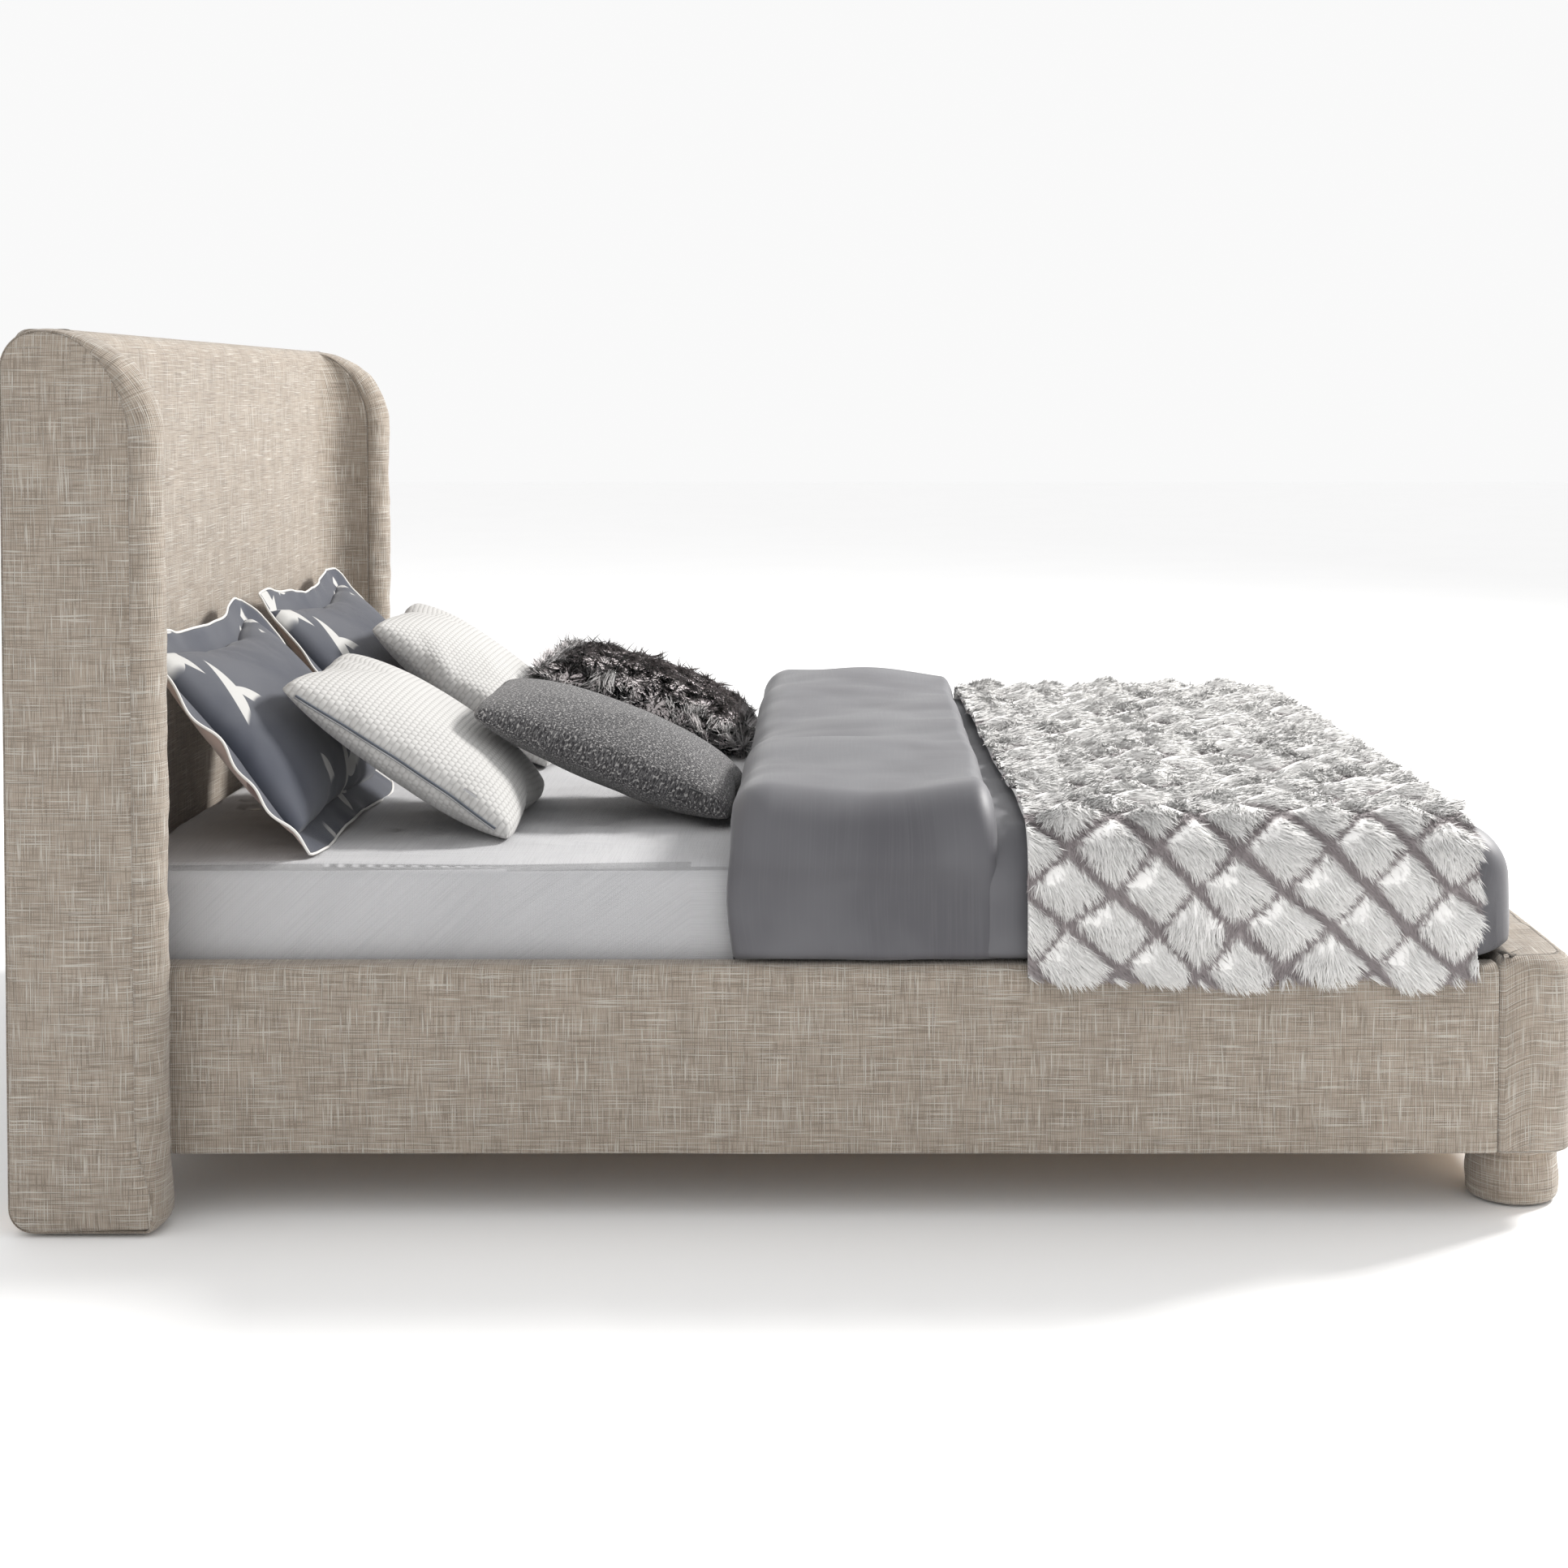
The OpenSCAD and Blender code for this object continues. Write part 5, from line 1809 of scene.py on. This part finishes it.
@dataclass
class Cushion:
    """Square stuffed cushion that leans back on what is behind it."""

    name: str
    node: str
    body: str
    finish: Finish
    slot: Slot
    size: Spot
    lean: float
    fill: float
    seed: int
    threads: int = 46
    pressure: float = 4.5
    sag: float = 0.0
    seam_drop: float = 0.06
    zip: Finish | None = None
    tape: Finish | None = None
    zip_r: float = 0.0016

    def __post_init__(self) -> None:
        """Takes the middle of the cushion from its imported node."""
        low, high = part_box(self.node)
        self.middle = np.array((low + high) / 2.0)

    def blank(self, width: float, height: float) -> Piece:
        """Two layers of cloth sewn along their four edges, with a little stuffing.

        Args:
            width: width of the cut.
            height: height of the cut.

        Returns:
            The sewn case before it is filled.
        """
        count = self.threads
        line = np.linspace(-1.0, 1.0, count)
        u, v = np.meshgrid(line, line)
        corner = 1.0 - 0.035 * (np.abs(u) * np.abs(v)) ** 6
        x = u * width / 2.0 * corner
        y = v * height / 2.0 * corner
        lens = (1.0 - u ** 2) * (1.0 - v ** 2)
        rise = 0.020 * lens ** 0.5 + Ripple(self.seed, 0.09).at(spread(x, y, 0.0)) * 0.002 * lens
        front = spread(x, y, rise)
        back = spread(x, y, -rise)
        uv = spread(x, y)
        cloth = np.concatenate([uv, uv[::-1] + LINING])
        return finish_cloth(lay_cloth(self.name, np.concatenate([front, back[::-1]]), cloth))

    def stuff(self, case: Piece) -> None:
        """Fills the case with a short cloth simulation and keeps its result."""
        take(case)
        bpy.ops.object.modifier_add(type="CLOTH")
        cloth = case.modifiers[-1]
        rules = cloth.settings
        rules.quality = 6
        rules.mass = 0.2
        rules.tension_stiffness = rules.compression_stiffness = 22.0
        rules.shear_stiffness = 8.0
        rules.bending_stiffness = 0.25
        rules.tension_damping = rules.compression_damping = 12.0
        rules.use_pressure = True
        rules.uniform_pressure_force = self.pressure
        rules.effector_weights.gravity = 0.0
        cloth.collision_settings.use_collision = False
        cloth.point_cache.frame_start = 1
        cloth.point_cache.frame_end = 26
        scene = bpy.context.scene
        for frame in range(1, 25):
            scene.frame_set(frame)
        take(case)
        bpy.ops.object.modifier_apply(modifier=cloth.name)
        scene.frame_set(1)
        deselect()

    def plump(self, case: Piece, share: float) -> None:
        """Evens out the filling, so that the case is full right up to its seams.

        Args:
            case: the filled case.
            share: 0 keeps the simulated filling, 1 takes an even filling.
        """
        cut, layer = self.cut_places(case)
        u, v = (cut / np.abs(cut).max(axis=0)).T
        even = layer * np.clip((1.0 - u ** 2) * (1.0 - v ** 2), 0.0, 1.0) ** 0.42
        where = self.places(case)
        filled = where[:, 2] / np.abs(where[:, 2]).max()
        if (filled * layer).mean() < 0.0:
            filled = -filled
        where[:, 2] = (share * even + (1.0 - share) * filled) * self.size[2] / 2.0
        where[:, :2] = cut * share + where[:, :2] * (1.0 - share)
        self.put(case, where)

    def cut_places(self, case: Piece) -> tuple[Grid, Grid]:
        """Place of each point on the flat cut, and 1 on the front layer or -1 on the back one."""
        corner, flat = read_uv(case)
        cut = np.zeros((len(case.data.vertices), 2))
        cut[corner] = flat
        back = cut[:, 0] > 2.0
        cut[back, 0] -= 4.0
        return cut, np.where(back, -1.0, 1.0)

    def places(self, piece: Piece) -> Grid:
        """Places of all points of a piece."""
        where = np.empty(len(piece.data.vertices) * 3, np.float64)
        piece.data.vertices.foreach_get("co", where)
        return where.reshape(-1, 3)

    def put(self, piece: Piece, where: Grid) -> None:
        """Moves all points of a piece."""
        piece.data.vertices.foreach_set("co", np.ascontiguousarray(where, np.float32).reshape(-1))
        piece.data.update()

    def fit(self, piece: Piece, size: Spot) -> None:
        """Brings the filled case to its size."""
        where = self.places(piece)
        low, high = where.min(axis=0), where.max(axis=0)
        where = (where - (low + high) / 2.0) * (np.array(size) / (high - low))
        self.put(piece, where)

    def relax(self, piece: Piece) -> None:
        """One level of subdivision, applied."""
        take(piece)
        bpy.ops.object.modifier_add(type="SUBSURF")
        smoother = piece.modifiers[-1]
        smoother.levels = 1
        smoother.render_levels = 1
        bpy.ops.object.modifier_apply(modifier=smoother.name)
        bpy.ops.object.shade_smooth()
        deselect()

    def lean_back(self, where: Grid) -> Grid:
        """Turns places about X by the lean and carries them to the cushion's middle."""
        turn = math.radians(self.lean)
        y = where[..., 1] * math.cos(turn) - where[..., 2] * math.sin(turn)
        z = where[..., 1] * math.sin(turn) + where[..., 2] * math.cos(turn)
        return np.stack([where[..., 0], y, z], axis=-1) + self.middle

    def settle(self, where: Grid) -> Grid:
        """Slumps the stuffing a little towards the lower edge, in the cushion's own frame."""
        _, height, thick = self.size
        low = smooth(-where[:, 1], -height * 0.2, height * 0.5)
        where[:, 2] *= 1.0 + 0.04 * low - 0.05 * (1.0 - low)
        drop = self.seam_drop * thick
        front = 1.0 + 2.0 * self.seam_drop
        back = 1.0 - 2.0 * self.seam_drop
        where[:, 2] = np.where(where[:, 2] > 0.0, where[:, 2] * front, where[:, 2] * back) - drop
        return self.droop(where)

    def droop(self, where: Grid) -> Grid:
        """Lets the middle of the upper edge hang a little between its corners."""
        width, height, _ = self.size
        bend = self.sag * (1.0 - (2.0 * where[:, 0] / width) ** 2)
        where[:, 1] -= bend * smooth(where[:, 1], -height * 0.1, height * 0.5)
        return where

    def build_case(self, size: Spot) -> Piece:
        """Sews, fills, fits and smooths the case, still in its own frame."""
        case = self.blank(size[0] * 1.06, size[1] * 1.06)
        self.stuff(case)
        self.plump(case, 0.72)
        self.fit(case, size)
        self.relax(case)
        self.fit(case, size)
        self.put(case, self.settle(self.places(case)))
        return case

    def lower(self, *parts: Grid) -> None:
        """Lowers the cushion's middle until its lowest part rests on the sheet."""
        low = min(float(self.lean_back(part)[..., 2].min()) for part in parts)
        self.middle[2] -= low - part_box("fitted_sheet")[1].z - REST

    def seam_of(self, case: Piece) -> tuple[Grid, Grid]:
        """Points of the seam between the two layers around the case, and their places on the flat cut."""
        mesh = case.data
        layer = mesh.uv_layers.active.data
        sides = [set(), set()]
        for face in mesh.polygons:
            sides[int(layer[face.loop_start].uv.x > 2.0)].update(face.vertices)
        both = sorted(sides[0] & sides[1])
        cut = self.cut_places(case)[0][both]
        where = self.places(case)[both]
        order = np.argsort(np.arctan2(cut[:, 1] / self.size[1], cut[:, 0] / self.size[0]))
        return where[order], cut[order]

    def zip_line(self, case: Piece) -> None:
        """Sews the zip along the cushion's left edge."""
        seam, cut = self.seam_of(case)
        share = cut / np.abs(cut).max(axis=0)
        line = seam[(share[:, 0] < -0.98) & (np.abs(share[:, 1]) < 0.9)]
        line = line[np.argsort(line[:, 1])]
        even = np.ones(9) / 9.0
        line = np.stack([np.convolve(np.pad(axis, 4, "edge"), even, "valid") for axis in line.T], axis=1)
        line[:, 0] -= 0.0024
        for name, shift, finish, slot in (
            ("coil", 0.0, self.zip, Slot.ZIP), ("tape", 0.0034, self.tape, self.slot)
        ):
            path = self.lean_back(line + np.array([0.0, 0.0, shift]))
            cord = cord_along(f"{self.name}_zip_{name}", path, self.zip_r, closed=False)
            dress(cord, finish, self.body)

    def rest(self, piece: Piece) -> None:
        """Leans a piece back in its place."""
        self.put(piece, self.lean_back(self.places(piece)))

    def build(self) -> Piece:
        """Makes the cushion in its place."""
        case = self.build_case(self.size)
        self.lower(self.places(case))
        if self.zip:
            self.zip_line(case)
        self.rest(case)
        dress(case, self.finish, self.body)
        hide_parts(self.node)
        return case


@dataclass
class Sham(Cushion):
    """Printed cushion with a flat flange and a piped edge."""

    reverse: Finish | None = None
    piping: Finish | None = None
    flange: float = 0.046
    flange_t: float = 0.0034
    piping_r: float = 0.0022

    def build(self) -> Piece:
        """Makes the stuffed middle, the flange around it and its piping."""
        width, height, thick = self.size
        core = self.build_case((width - 2 * self.flange, height - 2 * self.flange, thick))
        rings = self.flange_rings(core)
        self.lower(self.places(core), rings)
        piece = self.flange_cloth(rings)
        edge = cord_along(f"{self.name}_piping", self.lean_back(rings[-1][:-1]), self.piping_r, closed=True)
        self.rest(core)
        dress(core, self.finish, self.body)
        self.back_cloth(core)
        dress(piece, self.finish, self.body)
        self.back_cloth(piece)
        dress(edge, self.piping, self.body)
        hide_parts(self.node)
        return core

    def back_cloth(self, piece: Piece) -> None:
        """Gives the faces of the back layer the reverse cloth."""
        piece.data.materials.append(self.reverse)
        layer = piece.data.uv_layers.active.data
        for face in piece.data.polygons:
            face.material_index = 1 if layer[face.loop_start].uv.x > 2.0 else 0

    def flange_rings(self, core: Piece) -> Grid:
        """Rings of points from the seam to the flange's edge, with soft waves."""
        seam, cut = self.seam_of(core)
        share = np.abs(cut) / np.abs(cut).max(axis=0)
        rim = np.mean([np.roll(seam, shift, axis=0) for shift in range(-5, 6)], axis=0)
        rim[:, :2] += np.sign(cut) * smooth(share, 0.86, 1.0) * self.flange
        rim[:, 2] = 0.0
        closed_seam = np.vstack([seam, seam[:1]])
        closed_rim = np.vstack([rim, rim[:1]])
        wave = Ripple(self.seed + 7, 0.11).at(closed_rim) * 0.0030
        rings = []
        for part in np.linspace(0.0, 1.0, 9):
            ring = closed_seam + (closed_rim - closed_seam) * part
            ring[:, 2] += wave * part ** 1.3
            rings.append(ring)
        return np.array(rings)

    def flange_cloth(self, rings: Grid) -> Piece:
        """Two layers of cloth from the seam to the edge."""
        half = np.zeros_like(rings)
        half[:-1, :, 2] = self.flange_t / 2.0
        points = np.concatenate([rings + half, (rings - half)[::-1]])
        uv = rings[..., :2]
        cloth = np.concatenate([uv, uv[::-1] + LINING])
        return finish_cloth(lay_cloth(f"{self.name}_flange", self.lean_back(points), cloth), weld=2e-5)


@dataclass
class WoolCushion(Cushion):
    """Cushion covered with curly long wool."""

    pile: Finish | None = None
    light: Tone = (0.5, 0.45, 0.42)
    dark: Tone = (0.2, 0.18, 0.17)
    strands: int = 21000
    kind: Strands = Strands(
        0.050, 0.0032, 0.20, 0.28, 17, curl=0.07, turns=1.2, rings=2, clump=0.014, soft=0.85
    )

    def build(self) -> Piece:
        """Makes the cushion a little smaller and grows the wool on it."""
        width, height, thick = self.size
        case = self.build_case((width - 0.026, height - 0.026, thick - 0.024))
        self.lower(self.places(case) - np.array([0.0, 0.0, 0.006]))
        self.rest(case)
        dress(case, self.finish, self.body)
        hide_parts(self.node)
        for number in (1, 2):
            self.grow(case, number)
        return case

    def grow(self, case: Piece, number: int) -> None:
        """Grows one of the two layers of wool.

        Args:
            case: the finished cushion.
            number: number of the layer.
        """
        roots, normals = self.scatter(case, self.seed + number)
        draw = np.random.default_rng(self.kind.seed + number)
        swirl = np.stack([Ripple(s, 0.05).at(roots) for s in (301, 302, 303)], axis=1)
        comb = swirl - normals * (swirl * normals).sum(axis=1, keepdims=True)
        mottle = 0.3 * Ripple(304, 0.02).at(roots) + draw.normal(size=len(roots)) * 0.18
        share = np.clip(0.5 + mottle, 0.0, 1.0)
        tint = np.array(self.dark) + (np.array(self.light) - np.array(self.dark)) * share[:, None]
        kind = replace(self.kind, seed=self.kind.seed + number)
        wool = plant(f"{self.name}_wool_{number}", roots, normals, comb, tint, kind)
        dress(wool, self.pile, self.body)

    def scatter(self, case: Piece, seed: int) -> tuple[Grid, Grid]:
        """Spreads roots evenly over the case.

        Args:
            case: the finished cushion.
            seed: number that sets where the roots fall.

        Returns:
            The roots and the outward direction at each.
        """
        mesh = case.data
        mesh.calc_loop_triangles()
        corners = np.empty(len(mesh.loop_triangles) * 3, np.int32)
        mesh.loop_triangles.foreach_get("vertices", corners)
        where = self.places(case)[corners.reshape(-1, 3)]
        cross = np.cross(where[:, 1] - where[:, 0], where[:, 2] - where[:, 0])
        area = np.linalg.norm(cross, axis=1)
        draw = np.random.default_rng(seed)
        pick = draw.choice(len(area), self.strands, p=area / area.sum())
        share = draw.uniform(size=(self.strands, 2))
        over = share.sum(axis=1) > 1.0
        share[over] = 1.0 - share[over]
        tri = where[pick]
        roots = tri[:, 0] + (tri[:, 1] - tri[:, 0]) * share[:, :1] + (tri[:, 2] - tri[:, 0]) * share[:, 1:]
        return roots, unit(cross[pick])


# ---------- hidden parts, room and light ----------


@dataclass
class HiddenParts:
    """Timber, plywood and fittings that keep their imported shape."""

    finishes: dict[Slot, Finish]
    nodes: dict[str, Piece]
    record: dict

    def build(self) -> None:
        """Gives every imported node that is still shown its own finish."""
        slots = {part["node"]: Slot(part["material_slot"]) for part in self.record["subparts"]}
        for name, node in self.nodes.items():
            finish = self.finishes.get(slots[name])
            if node.hide_render or finish is None:
                continue
            node.data.materials.clear()
            node.data.materials.append(finish)
            LOG.info("%s: packed shape in %s", name, slots[name].value)


@dataclass
class Room:
    """Pale floor, soft lights and the camera."""

    place: Spot = (-4.31, -0.06, 1.2186)
    lens: float = 54.56
    pitch: float = 1.77
    shift: Flat = (-0.0377, -0.1992)

    def camera(self) -> None:
        """Sets the camera level with the top of the headboard, looking across the bed."""
        data = bpy.data.cameras.new("camera")
        data.lens = self.lens
        data.sensor_width = 36.0
        data.shift_x, data.shift_y = self.shift
        data.clip_end = 200.0
        camera = bpy.data.objects.new("camera", data)
        camera.location = self.place
        camera.rotation_euler = (math.radians(90.0 - self.pitch), 0.0, math.radians(-90.0))
        bpy.context.scene.collection.objects.link(camera)
        bpy.context.scene.camera = camera

    def lamp(self, name: str, place: Spot, aim: Spot, size: float, watts: float, colour: Tone) -> None:
        """Adds one soft square lamp.

        Args:
            name: name of the lamp.
            place: where it hangs.
            aim: what it points at.
            size: side of the lamp, in metres.
            watts: power.
            colour: linear colour.
        """
        data = bpy.data.lights.new(name, "AREA")
        data.energy = watts
        data.size = size
        data.color = colour
        lamp = bpy.data.objects.new(name, data)
        lamp.location = place
        way = Vector(aim) - Vector(place)
        lamp.rotation_euler = way.to_track_quat("-Z", "Y").to_euler()
        bpy.context.scene.collection.objects.link(lamp)

    def floor(self) -> None:
        """Lays a wide pale floor."""
        deselect()
        bpy.ops.mesh.primitive_grid_add(x_subdivisions=8, y_subdivisions=8, size=60.0, location=(0, 0, 0))
        floor = bpy.context.object
        floor.name = "studio_floor"
        bench = Bench("studio_floor", rough=0.9)
        cloud = bench.noise(bench.space(), 1.5, 2.0)
        colour = bench.mix(bench.between(cloud, 0.2, 0.8), (0.98, 0.98, 0.98), (0.99, 0.99, 0.99))
        floor.data.materials.append(bench.close(colour))
        floor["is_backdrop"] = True

    def world(self) -> None:
        """Sets an even pale sky."""
        world = bpy.data.worlds.new("studio")
        world.use_nodes = True
        sky = world.node_tree.nodes["Background"]
        sky.inputs["Color"].default_value = (1.0, 1.0, 1.0, 1.0)
        sky.inputs["Strength"].default_value = 0.95
        bpy.context.scene.world = world
        bpy.context.scene.view_settings.view_transform = "Standard"

    def build(self) -> None:
        """Makes the room."""
        self.camera()
        self.floor()
        self.world()
        self.lamp("key", (2.6, -5.4, 4.7), (0.0, 0.3, 0.6), 1.6, 800.0, (1.0, 0.985, 0.96))
        self.lamp("fill", (-5.5, -2.5, 2.6), (0.0, 0.0, 0.5), 4.0, 14.0, (1.0, 1.0, 1.0))


# ---------- finishes and assembly ----------


def finishes() -> dict[Slot, Finish]:
    """Builds the finish of every slot."""
    oat = tone(158, 145, 131)
    looks = {
        Slot.UPHOLSTERY: SlubLinen("upholstery_linen", oat, tone(206, 202, 194), tone(102, 91, 79)),
        Slot.BACK_CLOTH: PlainWeave("back_lining", tone(96, 92, 88), tone(66, 63, 60), 0.0011),
        Slot.TIMBER: Grained("sawn_pine", tone(205, 172, 124), tone(158, 118, 74), (9.0, 60.0, 60.0)),
        Slot.PLYWOOD: Grained("birch_plywood", tone(214, 188, 146), tone(182, 148, 104), (7.0, 70.0, 70.0)),
        Slot.STEEL: Hard("zinc_steel", tone(150, 152, 154), 0.38, 1.0),
        Slot.INSERT: Hard("brass_insert", tone(178, 152, 92), 0.34, 1.0),
        Slot.NYLON: Hard("black_nylon", tone(34, 34, 36), 0.45, 0.0),
        Slot.WEBBING: PlainWeave("cotton_webbing", tone(214, 208, 196), tone(150, 144, 132), 0.0022, 0.0004),
        Slot.TICKING: PlainWeave("mattress_ticking", tone(232, 230, 225), tone(190, 188, 184), 0.0016),
        Slot.SHEET: PlainWeave("sheet_linen", tone(192, 192, 194), tone(150, 150, 153), 0.0026, 0.0004, 0.3),
        # the duvet's second tone is its painted sheen
        Slot.DUVET: Sateen("duvet_sateen", tone(76, 75, 80), tone(97, 97, 101)),
        Slot.FUR: Pile("throw_pile"),
        Slot.SHAM: LeafPrint("sham_print", tone(52, 56, 68), tone(196, 195, 192)),
        # the knit's second tone is the painted shade in its grooves
        Slot.QUILTED: Honeycomb("quilted_knit", tone(186, 185, 183), tone(146, 144, 142)),
        Slot.TWEED: Tweed("dark_tweed", tone(96, 95, 96), tone(158, 156, 155), tone(50, 49, 51)),
        Slot.WOOL: PlainWeave("wool_backing", tone(196, 189, 189), tone(160, 153, 154), 0.0020),
        Slot.ZIP: Hard("zip_metal", tone(168, 168, 170), 0.3, 1.0),
    }
    return {slot: look.build() for slot, look in looks.items()}


def cushions(cloth: dict[Slot, Finish]) -> list[Cushion]:
    """Lists the six cushions from the headboard forwards."""
    reverse = LeafPrint("sham_reverse", tone(196, 178, 170), tone(120, 98, 96), 0.13).build()
    piping = PlainWeave("sham_piping", tone(226, 224, 220), tone(188, 186, 182), 0.0010).build()
    pile = Pile("wool_pile", 0.85).build()
    tape = PlainWeave("zip_tape", tone(92, 98, 108), tone(70, 75, 84), 0.0010).build()
    made: list[Cushion] = []
    for side in Side:
        made.append(Sham(f"sham_{side.word}_cushion", f"sham_{side.word}", f"sham_{side.word}",
                         cloth[Slot.SHAM], Slot.SHAM, (0.700, 0.460, 0.126), 51.0, 0.55,
                         401 + int(side.value) * 3, sag=0.032, reverse=reverse, piping=piping))
    for side, lean in ((Side.LEFT, 33.7), (Side.RIGHT, 38.0)):
        made.append(Cushion(f"quilted_{side.word}_cushion", f"quilted_pillow_{side.word}",
                            f"quilted_{side.word}", cloth[Slot.QUILTED], Slot.QUILTED,
                            (0.450, 0.430, 0.140), lean, 0.7, 421 + int(side.value) * 3,
                            zip=cloth[Slot.ZIP] if side is Side.LEFT else None, tape=tape))
    made.append(Cushion("tweed_cushion", "tweed_pillow", "tweed", cloth[Slot.TWEED], Slot.TWEED,
                        (0.380, 0.462, 0.136), 22.0, 0.6, 431))
    made.append(WoolCushion("wool_cushion", "wool_pillow", "wool", cloth[Slot.WOOL], Slot.WOOL,
                            (0.460, 0.460, 0.150), 20.0, 0.65, 441, pile=pile,
                            light=tone(244, 239, 239), dark=tone(206, 199, 200)))
    return made


def corners_of(bounds: object) -> list[list[float]]:
    """The two corners of a box as plain lists."""
    return [[float(v) for v in corner] for corner in bounds]


def main(frame: dict, packed: object) -> None:
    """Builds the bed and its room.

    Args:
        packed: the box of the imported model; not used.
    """
    logging.basicConfig(level=logging.INFO, format="%(name)s: %(message)s")
    Room().build()
    cloth = finishes()
    upholstery = cloth[Slot.UPHOLSTERY]
    Headboard(upholstery, cloth[Slot.BACK_CLOTH]).build()
    for side in Side:
        SideRail(side, upholstery).build()
        LegSleeve(side, upholstery).build()
    Footboard(upholstery).build()
    MattressSet(cloth[Slot.TICKING], cloth[Slot.SHEET]).build()
    Duvet(cloth[Slot.DUVET]).build()
    FurThrow(cloth[Slot.FUR], tone(250, 249, 247), tone(156, 148, 149)).build()
    for cushion in cushions(cloth):
        cushion.build()
    HiddenParts(cloth, frame["nodes"], frame["record"]).build()


if __name__ == "__main__":
    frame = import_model()
    main(frame, corners_of(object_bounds()))
